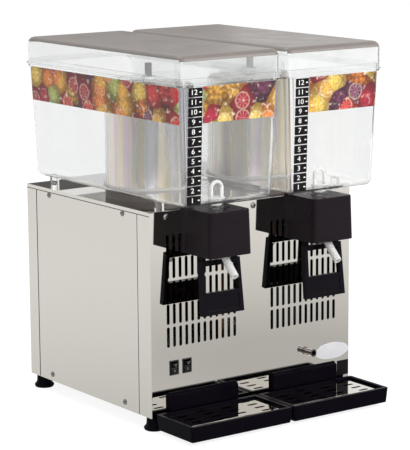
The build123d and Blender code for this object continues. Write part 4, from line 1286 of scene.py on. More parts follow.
@dataclass
class Tank:
    """A clear tank with its lid, drum, seal and plug, in millimetres, first built for the left module."""

    middle: float = 5.0
    floor: float = 382.0
    top: float = 588.0
    bottom_size: tuple[float, float] = (180.0, 447.0)
    top_size: tuple[float, float] = (198.0, 456.0)
    corner: float = 11.0
    floor_edge: float = 9.0
    wall: float = 3.0
    bead: tuple[float, float, float] = (575.5, 578.7, 3.5)
    deck: float = 366.5
    leg: tuple[float, float] = (11.0, 14.0)
    leg_x: float = 76.0
    leg_y: tuple[float, float] = (-131.5, 189.5)
    outlet_y: float = -183.5
    lid_size: tuple[float, float] = (205.0, 463.0)
    lid_low: float = 578.7
    lid_high: float = 625.0
    lid_wall: float = 2.5
    lid_corner: float = 14.5
    lid_edge: float = 12.5
    # the deeper taupe on front and rear faces is a painted dark edge that hides the lamp's highlight on the
    # rounded edge
    taupe_depth: tuple[float, float] = (6.25, 8.75)
    brim: tuple[float, float] = (581.7, 3.0)
    drum_radius: float = 74.0
    drum_top: float = 556.5
    drum_edge: float = 6.0
    drum_wall: float = 1.5
    drum_hole: float = 77.1
    nozzle: float = 13.0
    nozzle_low: float = 362.0
    bore: float = 9.0
    holes_low: float = 355.0
    holes_high: float = 395.0
    seal_outline: Pairs = (
        (366.5, 74.1), (366.5, 76.1), (379.0, 76.1), (380.5, 79.6), (381.8, 79.8), (382.0, 79.6),
        (382.0, 76.8), (388.6, 76.8), (389.0, 76.4), (389.0, 74.1))
    plug_outline: Pairs = (
        (375.0, 8.2), (375.6, 8.7), (385.0, 8.7), (385.0, 13.5), (385.5, 14.0), (387.4, 14.0), (388.0, 13.4))
    loop_radius: float = 10.5
    loop_wire: float = 3.0
    loop_low: float = 387.2
    loop_high: float = 402.5
    stirrer_low: float = 557.0
    stirrer_hub: Pairs = (
        (0.0, 12.4), (0.6, 13.0), (11.4, 13.0), (12.0, 12.4), (12.0, 6.0), (33.0, 6.0), (34.0, 5.0))
    stirrer_shaft: Pairs = ((-50.0, 4.0), (2.0, 4.0))
    knob_radius: float = 6.2
    paddle: tuple[float, float, float] = (62.0, 3.0, 16.0)
    paddle_start: float = 8.0
    paddle_corner: float = 12.0
    paddle_bow: float = 8.0
    paddle_cuts: int = 8
    paddle_step: float = 6.0

    def spot(self, side: Side, y: float, z: float = 0.0) -> Vector:
        """A point on the module's middle plane, in metres."""
        return mm(side.value, y, z)

    def outward(self, side: Side, centre: Vector, normal: Vector) -> bool:
        """True on a face of the outer wall."""
        away = centre - self.spot(side, self.middle)
        return abs(normal.z) < 0.5 and away.x * normal.x + away.y * normal.y > 0

    def box(self, name: str, side: Side, size: tuple[float, float], low: float, high: float) -> Piece:
        """A plain block about the module's middle.

        Args:
            name: Name of the new piece.
            side: Which module.
            size: Width and depth.
            low: Height of its underside.
            high: Height of its top.

        Returns:
            The block.
        """
        half = mm(size[0] / 2, size[1] / 2, 0)
        return Bench.block(name, self.spot(side, self.middle, low) - half,
                           self.spot(side, self.middle, high) + half)

    def body(self, name: str, side: Side) -> Piece:
        """The tank's tapered body with rounded corners, as a plain block.

        Args:
            name: Name of the new piece.
            side: Which module.

        Returns:
            The body.
        """
        body = self.box(name, side, self.bottom_size, self.floor, self.top)
        grow = [top / bottom for top, bottom in zip(self.top_size, self.bottom_size)]
        Bench.scale_faces(body, lambda c, n: n.z > ALONG, Vector((*grow, 1)),
                          self.spot(side, self.middle, self.top))
        Bench.round_edges(body, runs(Axis.Z, LEANING), self.corner, 8)
        return body

    def legs(self, side: Side) -> list[Piece]:
        """Makes the four legs that stand on the deck.

        Args:
            side: Which module.

        Returns:
            The legs.
        """
        width, depth = self.leg
        legs = []
        for x in (side.value - self.leg_x, side.value + self.leg_x):
            for y in self.leg_y:
                leg = Bench.block(f"leg_{len(legs)}", mm(x - width / 2, y - depth / 2, self.deck),
                                  mm(x + width / 2, y + depth / 2, self.floor + self.wall / 2))
                Bench.round_edges(leg, runs(Axis.Z), 1.5, 2)
                legs.append(leg)
        return legs

    def shell(self, side: Side) -> Piece:
        """Moulds the tapered tank with its legs, bead, nozzle and drum opening.

        Args:
            side: Which module.

        Returns:
            The tank.
        """
        tank = self.body(f"tank_{side.word}_moulded", side)
        Bench.round_edges(tank, lambda m, d: m.z < (self.floor + 0.5) * MM, self.floor_edge, 5)
        Bench.drop_faces(tank, lambda c, n: c.z > (self.top - 0.5) * MM)
        Bench.thicken(tank, self.wall)
        low, high, reach = self.bead
        Bench.cut_level(tank, low)
        Bench.cut_level(tank, high)
        Bench.swell(tank, lambda c, n: low * MM < c.z < high * MM and self.outward(side, c, n), reach)
        outlet, lip = self.spot(side, self.outlet_y), 0.6
        nozzle = Bench.turned("nozzle", outlet, (
            (self.nozzle_low, self.nozzle - lip), (self.nozzle_low + lip, self.nozzle),
            (self.floor + self.wall / 2, self.nozzle)), 48)
        for tool in (*self.legs(side), nozzle):
            Bench.combine(tank, tool, "UNION")
        for name, spot, radius, sides in (("drum_hole", self.spot(side, self.middle), self.drum_hole, 96),
                                          ("bore", outlet, self.bore, 48)):
            hole = Bench.turned(name, spot, ((self.holes_low, radius), (self.holes_high, radius)), sides)
            Bench.combine(tank, hole, "DIFFERENCE")
        Bench.smooth(tank)
        return tank

    def lid(self, side: Side) -> Piece:
        """Moulds the lid with its brim.

        Args:
            side: Which module.

        Returns:
            The lid.
        """
        lid = self.box(f"lid_{side.word}_moulded", side, self.lid_size, self.lid_low, self.lid_high)
        Bench.round_edges(lid, runs(Axis.Z), self.lid_corner, 8)
        Bench.round_edges(lid, lambda m, d: m.z > (self.lid_high - 0.5) * MM, self.lid_edge, 6)
        Bench.drop_faces(lid, lambda c, n: c.z < (self.lid_low + 0.5) * MM)
        Bench.thicken(lid, self.lid_wall)
        level, reach = self.brim
        Bench.cut_level(lid, level)
        Bench.swell(lid, lambda c, n: c.z < level * MM and self.outward(side, c, n), reach)
        Bench.smooth(lid)
        return lid

    def ring(self, name: str, side: Side, outline: Pairs) -> Piece:
        """Turns a closed outline round the module's middle.

        Args:
            name: Name of the new piece.
            side: Which module.
            outline: Height and radius of each step.

        Returns:
            The turned piece.
        """
        ring = Bench.turned(name, self.spot(side, self.middle), outline, 128, closed=True)
        Bench.smooth(ring, 40)
        return ring

    def drum(self, side: Side) -> Piece:
        """Turns the cooling drum, closed over the top but for the stirrer's hole.

        Args:
            side: Which module.

        Returns:
            The drum.
        """
        radius, top, edge, wall = self.drum_radius, self.drum_top, self.drum_edge, self.drum_wall
        shoulder = [(top - edge + edge * math.sin(a), radius - edge + edge * math.cos(a))
                    for a in (0, 0.4, 0.8, 1.2, QUARTER)]
        return self.ring(f"drum_{side.word}", side, [
            (self.deck, radius), *shoulder, (top, 6.0), (top - wall, 6.0), (top - wall, radius - 7),
            (top - 8, radius - wall), (self.deck, radius - wall)])

    def plug(self, side: Side) -> Piece:
        """Makes the outlet plug: a turned stopper and a loop spun over it.

        Args:
            side: Which module.

        Returns:
            The plug.
        """
        stopper = Bench.turned(f"plug_{side.word}_moulded", self.spot(side, self.outlet_y),
                               self.plug_outline, 48)
        x, low, high = side.value, self.loop_low, self.loop_high
        Bench.clear()
        bpy.ops.mesh.primitive_circle_add(vertices=16, radius=self.loop_wire * MM, fill_type="NGON",
                                          location=mm(x - self.loop_radius, self.outlet_y, low))
        loop = Bench.settle(Bench.named("loop"))
        Bench.choose(loop, Part.FACES, everything)
        bpy.ops.mesh.extrude_region_move(TRANSFORM_OT_translate={"value": mm(0, 0, high - low)})
        bpy.ops.mesh.spin(steps=16, angle=-math.pi, center=mm(x, self.outlet_y, high), axis=(0, 1, 0))
        bpy.ops.mesh.extrude_region_move(TRANSFORM_OT_translate={"value": mm(0, 0, low - high)})
        bpy.ops.mesh.select_all(action="SELECT")
        bpy.ops.mesh.remove_doubles(threshold=MERGE)
        bpy.ops.mesh.normals_make_consistent(inside=False)
        Bench.done()
        Bench.combine(stopper, loop, "UNION")
        Bench.smooth(stopper, 40)
        return stopper

    def stirrer(self, side: Side) -> Piece:
        """Moulds the stirrer: two bowed paddles and a shaft on a hub with a knob.

        Args:
            side: Which module.

        Returns:
            The stirrer.
        """
        low, start, (reach, thick, tall) = self.stirrer_low, self.paddle_start, self.paddle
        paddle = Bench.block("paddle", mm(start, 0, low), mm(reach, thick, low + tall))
        Bench.round_edges(paddle, lambda m, d: abs(d.y) > ALONG and m.x > (reach - 2) * MM
                          and m.z > (low + tall - 1) * MM, self.paddle_corner, 6)
        for cut in range(1, self.paddle_cuts + 1):
            Bench.cut(paddle, mm(start + self.paddle_step * cut, 0, 0), Axis.X)
        for vertex in paddle.data.vertices:
            vertex.co.y += self.paddle_bow * MM * math.sin(math.pi * vertex.co.x / (reach * MM))
        twin = Bench.copy(paddle, "paddle_twin", Vector())
        Bench.place(twin, Matrix.Rotation(math.pi, 4, "Z"))
        foot = mm(0, 0, low)
        hub = Bench.turned("hub", foot, self.stirrer_hub, 48)
        for piece in (paddle, twin, Bench.turned("shaft", foot, self.stirrer_shaft, 24)):
            Bench.combine(hub, piece, "UNION")
        Bench.smooth(hub, 40)
        hub.name = f"stirrer_{side.word}_moulded"
        return Bench.place(hub, Matrix.Translation(self.spot(side, self.middle)))

    def build(self, finish: Finish) -> None:
        """Builds the left module's pieces, copies them to the right and hands all over.

        Args:
            finish: The finishes.
        """
        side = Side.LEFT
        tank, lid, drum = self.shell(side), self.lid(side), self.drum(side)
        seal = self.ring(f"drum_seal_{side.word}", side, self.seal_outline)
        plug, stirrer = self.plug(side), self.stirrer(side)
        dress(tank, finish.clear)
        dress(lid, finish.lid_clear, finish.lid_top)
        # front and rear faces take the taupe lower, as a painted dark edge over the highlight
        dress_second(lid, lambda c, n: c.z > (self.lid_high - self.taupe_depth[abs(n.y) > 0.65]) * MM)
        dress(drum, finish.drum)
        dress(seal, finish.seal, finish.seal_lip)
        dress_second(seal, lambda c, n: c.z > (self.floor - 0.1) * MM)
        dress(plug, finish.silicone)
        dress(stirrer, finish.clear, finish.knob)
        axis = self.spot(side, self.middle)
        dress_second(stirrer, lambda c, n: (c - axis).xy.length < self.knob_radius * MM)
        for piece, name, body, slot, node in (
                (tank, "tank_{}_moulded", "tank_{}", "clear_plastic", "tank_{}"),
                (lid, "lid_{}_moulded", "lid_{}", "lid_plastic", "lid_{}"),
                (drum, "drum_{}", "cabinet", "polished_steel", "evaporator_{}"),
                (seal, "drum_seal_{}", "cabinet", "seal_rubber", "tank_seal_{}"),
                (plug, "plug_{}_moulded", "plug_{}", "milky_silicone", "outlet_plug_{}"),
                (stirrer, "stirrer_{}_moulded", "stirrer_{}", "dark_plastic", "stirrer_{}")):
            fit_both(piece, name, body, slot, node, MODULE_SHIFT)


@dataclass
class TankPrint:
    """The printed bands and the litre scale on the tank walls, in millimetres."""

    tank: Tank
    band_low: float = 516.0
    band_high: float = 574.5
    band_gap: float = 0.8
    film: float = 0.25
    film_gap: float = 0.05
    scale_left: float = -80.5
    scale_lean: float = -2.5
    scale_width: float = 27.0
    scale_low: float = 386.5
    scale_pitch: float = 15.7
    scale_box: float = 14.2
    box_depth: tuple[float, float] = (0.05, 0.35)
    figure_height: float = 11.5
    figure_stretch: float = 1.2
    figure_spot: tuple[float, float] = (10.5, 0.42)
    figure_depth: float = 0.2
    tick_reach: tuple[float, float] = (21.0, 25.0)
    tick_half: float = 0.9
    tick_depth: tuple[float, float] = (0.3, 0.52)
    litres: int = 12
    rolls: tuple[float, float] = (0.0, 1.3)
    front_roll: float = 0.6

    def band_start(self, side: Side) -> float:
        """The X where the front band begins, beside the scale."""
        return side.value + self.scale_left + self.scale_width + self.band_gap

    def wall(self, side: Side, out: Vector, height: float) -> Matrix:
        """Frame on the tank's outer wall at a height.

        Args:
            side: Which tank.
            out: Level direction out of the wall.
            height: Height above the counter in millimetres.

        Returns:
            A matrix with its X along the wall, Y up the wall and Z out of it.
        """
        axis = 0 if abs(out.x) > 0.5 else 1
        low, high = self.tank.bottom_size[axis] / 2, self.tank.top_size[axis] / 2
        share = (height - self.tank.floor) / (self.tank.top - self.tank.floor)
        foot = mm(side.value, self.tank.middle, height) + out * (low + (high - low) * share) * MM
        up = (out * (high - low) + Vector((0, 0, self.tank.top - self.tank.floor))).normalized()
        along = Vector((0, 0, 1)).cross(out).normalized()
        normal = along.cross(up).normalized()
        place = Matrix((along, up, normal)).transposed().to_4x4()
        place.translation = foot
        return place

    def along(self, point: Vector, side: Side, axis: int) -> float:
        """How far a point lies along the wall and round its corners, from the wall's middle.

        Args:
            point: A point on the outer wall in metres.
            side: Which tank.
            axis: 0 for a wall that runs along X, 1 for one that runs along Y.

        Returns:
            The distance in metres, with its sign.
        """
        tank = self.tank
        share = (point.z / MM - tank.floor) / (tank.top - tank.floor)
        flat = [(low + (high - low) * share) / 2 * MM - tank.corner * MM
                for low, high in zip(tank.bottom_size, tank.top_size)]
        away = point - tank.spot(side, tank.middle)
        ahead, beside = abs(away[axis]), abs(away[1 - axis])
        if ahead > flat[axis]:
            turn = math.atan2(ahead - flat[axis], max(beside - flat[1 - axis], 1e-9))
            ahead = flat[axis] + tank.corner * MM * turn
        return math.copysign(ahead, away[axis])

    def band(self, name: str, side: Side, axis: int, keep: Pick, shift: float, finish: Finish) -> Piece:
        """Wraps one printed film round a tank's wall.

        Args:
            name: Name of the new piece.
            side: Which tank.
            axis: 0 for the front wall, 1 for a side wall.
            keep: Chooses the part of the wall that it covers.
            shift: Offset along the printed roll in metres.
            finish: The finishes.

        Returns:
            The film with UVs in metres, printed on its outer face and white behind.
        """
        film = self.tank.body(name, side)
        for level in (self.band_low, self.band_high):
            Bench.cut_level(film, level)
        low, high = self.band_low * MM, self.band_high * MM
        Bench.drop_faces(film, lambda c, n: abs(n.z) > 0.5 or not low < c.z < high)
        if axis == 0:
            Bench.cut(film, mm(self.band_start(side), 0, 0), Axis.X)
        Bench.drop_faces(film, lambda c, n: not keep(c, n))
        Bench.puff(film, self.film_gap)
        Bench.finish_with(film, "SOLIDIFY", thickness=self.film * MM, offset=1.0)
        layer = film.data.uv_layers.active or film.data.uv_layers.new(name="UVMap")
        for loop in film.data.loops:
            point = film.data.vertices[loop.vertex_index].co
            layer.data[loop.index].uv = (self.along(point, side, axis) + shift, point.z)
        Bench.smooth(film, 40)
        dress(film, finish.film, finish.band)
        dress_second(film, lambda c, n: self.tank.outward(side, c, n))
        return film

    def scale(self, side: Side, finish: Finish) -> None:
        """Sets the dark boxes of the litre scale with their figures and ticks.

        Args:
            side: Which module.
            finish: The finishes.
        """
        half = self.scale_box / 2
        boxes, figures = [], []
        for litre in range(1, self.litres + 1):
            middle = self.scale_low + (litre - 1) * self.scale_pitch + half
            place = self.wall(side, Vector((0, -1, 0)), middle)
            left = self.scale_left + self.scale_lean * (self.litres - litre) / (self.litres - 1)
            low, high = self.box_depth
            box = Bench.block(f"box_{litre}", mm(left, -half, low), mm(left + self.scale_width, half, high))
            Bench.round_edges(box, runs(Axis.Z), 0.8, 2)
            boxes.append(Bench.place(box, place))
            figure = Bench.lettering(f"figure_{litre}", str(litre), self.figure_height, self.figure_depth)
            shift = Matrix.Translation(mm(left + self.figure_spot[0], 0, self.figure_spot[1]))
            stretch = Matrix.Diagonal((self.figure_stretch, 1, 1, 1))
            figures.append(Bench.place(figure, place @ shift @ stretch))
            (near, far), (low, high) = self.tick_reach, self.tick_depth
            tick = Bench.block(f"tick_{litre}", mm(left + near, -self.tick_half, low),
                               mm(left + far, self.tick_half, high))
            Bench.round_edges(tick, runs(Axis.Z), 0.4, 2)
            figures.append(Bench.place(tick, place))
        for pieces, name, material in ((boxes, "scale_boxes", finish.ink),
                                       (figures, "scale_figures", finish.figures)):
            made = Bench.join(pieces, f"{name}_{side.word}")
            dress(made, material)
            fit(made, f"tank_{side.word}")

    def build(self, finish: Finish) -> None:
        """Lays the bands on the front of both tanks and the left one's outer side, and both scales.

        Args:
            finish: The finishes.
        """
        for side, roll in zip(Side, self.rolls):
            start = self.band_start(side) * MM
            walls = [("front", 0, lambda c, n: n.y < -0.8 and c.x > start, roll + self.front_roll)]
            if side is Side.LEFT:
                walls.append(("side", 1, lambda c, n: n.x < -0.85, roll))
            for name, axis, keep, shift in walls:
                film = self.band(f"band_{name}_{side.word}", side, axis, keep, shift, finish)
                fit(film, f"tank_{side.word}")
            self.scale(side, finish)


@dataclass
class Taps:
    """The tap housings, spouts and lever springs, in millimetres, first built for the left module."""

    front: float = -141.5
    low: float = 296.0
    high: float = 370.0
    bottom_width: float = 86.0
    top_width: float = 81.7
    depth: float = 83.0
    draft: float = 1.5
    wall: float = 3.0
    corner: float = 8.0
    edge: float = 1.5
    outlet_y: float = -183.5
    nozzle_hole: Pairs = ((360.0, 13.3), (375.0, 13.3))
    cup: Pairs = (
        (358.7, 15.2), (359.3, 15.8), (367.0, 15.8), (367.0, 13.3), (361.7, 13.3))
    spout_route: Pairs = (
        (-183.5, 361.7), (-183.5, 348.0), (-183.5, 337.0), (-207.5, 290.0), (-221.0, 277.0), (-234.5, 264.0))
    spout_radius: float = 6.5
    spout_wall: float = 2.0
    spring_y: float = -159.5
    spring_low: float = 335.05
    spring_high: float = 366.95
    spring_radius: float = 4.7
    spring_wire: float = 0.8
    spring_turns: int = 6
    spring_steps: int = 10
    spring_keep: float = 0.85

    def housing(self, side: Side) -> Piece:
        """Moulds a housing, open below and behind.

        Args:
            side: Which module.

        Returns:
            The housing.
        """
        x, half = side.value, self.bottom_width / 2
        body = Bench.block(f"tap_housing_{side.word}_moulded",
                           mm(x - half, self.front - self.depth, self.low),
                           mm(x + half, self.front, self.high))
        taper = (self.top_width / self.bottom_width, (self.depth - self.draft) / self.depth, 1)
        Bench.scale_faces(body, lambda c, n: n.z > ALONG, Vector(taper), mm(x, self.front, self.high))
        ahead = (self.front - 5) * MM
        Bench.round_edges(body, lambda m, d: abs(d.z) > LEANING and m.y < ahead, self.corner, 7)
        Bench.drop_faces(body, lambda c, n: n.y > ALONG or n.z < -ALONG)
        top, panel = (self.high - 0.2) * MM, (self.front - 0.2) * MM
        Bench.round_edges(body, lambda m, d: m.z > top and m.y < panel, self.edge, 3)
        Bench.thicken(body, self.wall)
        hole = Bench.turned("nozzle_hole", mm(x, self.outlet_y, 0), self.nozzle_hole, 48)
        Bench.combine(body, hole, "DIFFERENCE")
        Bench.smooth(body)
        return body

    def spout(self, side: Side) -> Piece:
        """Draws the bent spout, cut square at its tip, under its cup.

        Args:
            side: Which module.

        Returns:
            The spout.
        """
        route = [mm(side.value, y, z) for y, z in self.spout_route]
        spout = Bench.tube(f"spout_{side.word}_moulded", route, self.spout_radius, 8, 6)
        Bench.thicken(spout, self.spout_wall)
        cup = Bench.turned("cup", mm(side.value, self.outlet_y, 0), self.cup, 48)
        Bench.combine(spout, cup, "UNION")
        Bench.smooth(spout, 40)
        return spout

    def spring(self, side: Side) -> Piece:
        """Winds the lever's return spring, with a flat turn at each end.

        Args:
            side: Which module.

        Returns:
            The spring.
        """
        low, high = self.spring_low + self.spring_wire, self.spring_high - self.spring_wire
        flat = 2 * self.spring_wire
        heights = ((0, low), (1, low + flat), (self.spring_turns - 1, high - flat), (self.spring_turns, high))
        route = []
        for (turn, z), (next_turn, next_z) in zip(heights, heights[1:]):
            count = round((next_turn - turn) * self.spring_steps)
            for step in range(count + (next_turn == self.spring_turns)):
                angle = 2 * math.pi * (turn + step / self.spring_steps)
                route.append(mm(side.value + self.spring_radius * math.cos(angle),
                                self.spring_y + self.spring_radius * math.sin(angle),
                                z + (next_z - z) * step / count))
        spring = Bench.tube(f"lever_spring_{side.word}_wound", route, self.spring_wire, 3, 2, True)
        Bench.smooth(spring, 60)
        return spring

    def build(self, finish: Finish) -> None:
        """Builds both taps.

        Args:
            finish: The finishes.
        """
        body, spout, spring = self.housing(Side.LEFT), self.spout(Side.LEFT), self.spring(Side.LEFT)
        for piece, material, name, slot, node in (
                (body, finish.black, "tap_housing_{}_moulded", "black_plastic", "tap_housing_{}"),
                (spout, finish.silicone, "spout_{}_moulded", "milky_silicone", "spout_tube_{}"),
                (spring, finish.plain, "lever_spring_{}_wound", "plain_steel", "lever_spring_{}")):
            dress(piece, material)
            for side, made in fit_both(piece, name, "cabinet", slot, node, MODULE_SHIFT):
                if piece is spring:
                    anchor = tuple(mm(side.value, self.spring_y, self.spring_high))
                    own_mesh(made)


@dataclass
class DripTrays:
    """The drip trays and their grids, in millimetres, first built on the left."""

    middle_x: float = -104.25
    pitch: float = 208.5
    width: float = 205.5
    front: float = -251.5
    rear: float = -150.0
    low: float = 6.8
    high: float = 33.3
    draft: float = 2.0
    corner: float = 4.0
    rim: float = 7.0
    ledge: float = 5.0
    seat: float = 27.8
    well: float = 9.3
    grid_top: float = 29.3
    grid_inset: float = 7.5
    slot: tuple[float, float] = (20.0, 6.5)
    slot_pitch: tuple[float, float] = (45.167, 20.0)
    slot_count: tuple[int, int] = (4, 4)
    punch: float = 3.0

    def tray(self) -> Piece:
        """Moulds a tray with a rounded rim, a ledge for the grid and a well.

        Returns:
            The tray.
        """
        x, half = self.middle_x, self.width / 2
        y, deep = (self.front + self.rear) / 2, (self.rear - self.front) / 2
        tray = Bench.block("drip_tray_left_moulded", mm(x - half, self.front, self.low),
                           mm(x + half, self.rear, self.high))
        taper = ((half - self.draft) / half, (deep - self.draft) / deep, 1)
        Bench.scale_faces(tray, lambda c, n: n.z < -ALONG, Vector(taper), mm(x, y, self.low))
        Bench.round_edges(tray, runs(Axis.Z, LEANING), self.corner, 7)
        Bench.round_edges(tray, lambda m, d: m.z < (self.low + 0.2) * MM, 2.0, 4)
        for floor, inset in ((self.seat, self.rim), (self.well, self.rim + self.ledge)):
            hollow = Bench.block("hollow", mm(x - half + inset, self.front + inset, floor),
                                 mm(x + half - inset, self.rear - inset, self.high + 5))
            Bench.combine(tray, hollow, "DIFFERENCE")
        Bench.finish_with(tray, "BEVEL", width=0.9 * MM, segments=3, limit_method="ANGLE",
                          angle_limit=math.radians(40))
        Bench.smooth(tray, 40)
        return tray

    def grid(self) -> Piece:
        """Punches the staggered slots of a grid.

        Returns:
            The grid.
        """
        x, half = self.middle_x, self.width / 2 - self.grid_inset
        y, deep = (self.front + self.rear) / 2, (self.rear - self.front) / 2 - self.grid_inset
        grid = Bench.block("drip_grid_left_punched", mm(x - half, y - deep, self.seat),
                           mm(x + half, y + deep, self.grid_top))
        columns, rows = self.slot_count
        across, back = self.slot_pitch
        length, width = self.slot
        punches = []
        for column in range(columns):
            stagger = back / 4 * (1 if column % 2 else -1)
            cx = x + (column - (columns - 1) / 2) * across
            cy = y + stagger - (rows - 1) / 2 * back
            punch = Bench.block(f"punch_{column}",
                                mm(cx - length / 2, cy - width / 2, self.seat - self.punch),
                                mm(cx + length / 2, cy + width / 2, self.grid_top + self.punch))
            Bench.round_edges(punch, runs(Axis.Z), width / 2 - NEAR_HALF, 4)
            Bench.repeat(punch, rows, mm(0, back, 0))
            punches.append(punch)
        Bench.combine(grid, Bench.join(punches, "punches"), "DIFFERENCE")
        Bench.smooth(grid, 40)
        return grid

    def build(self, finish: Finish) -> None:
        """Builds both trays and grids.

        Args:
            finish: The finishes.
        """
        tray, grid, shift = self.tray(), self.grid(), mm(self.pitch, 0, 0)
        dress(tray, finish.tray)
        dress(grid, finish.mirror)
        fit_both(tray, "drip_tray_{}_moulded", "tray_{}", "black_plastic", "drip_tray_{}", shift)
        fit_both(grid, "drip_grid_{}_punched", "grid_{}", "polished_steel", "drip_grid_{}", shift)


@dataclass
class SwitchMarks:
    """The pale ring and bar on each rocker, in millimetres."""

    x: tuple[float, float] = (-163.8, -137.9)
    ring_z: float = 108.6
    bar_z: float = 98.6
    front: float = -160.0
    lift: float = 0.02
    ring: Pairs = ((0, 1.3), (0, 2.0), (0.16, 1.9), (0.16, 1.4))
    bar: tuple[float, float, float] = (0.8, 3.8, 0.16)
    bar_end: float = 0.3

    def on_face(self, rocker: Piece, x: float, z: float) -> Matrix:
        """Frame on a rocker's face, found by looking straight at it.

        Args:
            rocker: The rocker's CAD node.
            x: Place across the panel.
            z: Height.

        Returns:
            A matrix with its Z out of the face.
        """
        hit, spot, normal, _ = rocker.ray_cast(mm(x, self.front, z), Vector((0, 1, 0)))
        assert hit, "the rocker has no face there"
        place = normal.to_track_quat("Z", "Y").to_matrix().to_4x4()
        place.translation = spot + normal * self.lift * MM
        return place

    def build(self, frame: dict, finish: Finish) -> None:
        """Sets the marks on both rockers.

        Args:
            finish: The finishes.
        """
        for side, x in zip(Side, self.x):
            rocker = frame["nodes"][f"rocker_{side.word}"]
            ring = Bench.turned("ring", Vector(), self.ring, 32, closed=True)
            Bench.place(ring, self.on_face(rocker, x, self.ring_z))
            width, height, depth = self.bar
            bar = Bench.block("bar", mm(-width / 2, -height / 2, 0), mm(width / 2, height / 2, depth))
            Bench.round_edges(bar, runs(Axis.Z), self.bar_end, 3)
            Bench.place(bar, self.on_face(rocker, x, self.bar_z))
            marks = Bench.join([ring, bar], f"rocker_marks_{side.word}")
            dress(marks, finish.mark)
            fit(marks, f"rocker_{side.word}")


@dataclass
class CadNodes:
    """The CAD nodes that stay, with the finish of each and softened edges on those that show."""

    edge: float = 0.6
    flat_angle: float = 1.0
    edge_angle: float = 35.0
    merge: float = 1e-5

    def soften(self, node: Piece) -> None:
        """Rounds a node's edges by live modifiers, which leave its mesh as it is.

        Args:
            node: The CAD node.
        """
        node.modifiers.new("Weld", "WELD").merge_threshold = self.merge
        flat = node.modifiers.new("Flat", "DECIMATE")
        flat.decimate_type = "DISSOLVE"
        flat.angle_limit = math.radians(self.flat_angle)
        bevel = node.modifiers.new("Bevel", "BEVEL")
        bevel.width = self.edge * MM
        bevel.segments = 2
        bevel.limit_method = "ANGLE"
        bevel.angle_limit = math.radians(self.edge_angle)

    def build(self, frame: dict, finish: Finish) -> None:
        """Dresses every CAD node that no piece stands for.

        Args:
            finish: The finishes.
        """
        def pairs(*names: str) -> list[str]:
            """Both sides' nodes of each name."""
            return [f"{name}_{side.word}" for name in names for side in Side]

        rows = {
            finish.mirror: ["top_deck"],
            finish.nickel: ["drain_tube"],
            finish.satin: ["rear_panel", "left_side_panel", "right_side_panel"],
            finish.plain: ["base_pan", "top_frame", "fan_bracket", "fan_shroud", "fan_motor",
                           *pairs("lever_pin", "stirrer_motor")],
            finish.black: ["cable_gland"],
            finish.lever: pairs("lever"),
            finish.tray: pairs("tray_bracket"),
            finish.switch: pairs("switch_frame", "rocker"),
            finish.rubber: ["compressor_mounts"],
            finish.dark: ["fan_blades", "thermostat"],
            finish.enamel: ["compressor"],
            finish.copper: ["discharge_line", "liquid_line", "suction_line", "filter_drier",
                            *pairs("capillary")],
            finish.paint: ["condenser"],
        }
        soft = pairs("lever", "tray_bracket", "switch_frame", "rocker")
        for material, names in rows.items():
            for name in names:
                dress(frame["nodes"][name], material)
                if name in soft:
                    self.soften(frame["nodes"][name])
        log.info("dressed %d CAD nodes", sum(len(names) for names in rows.values()))


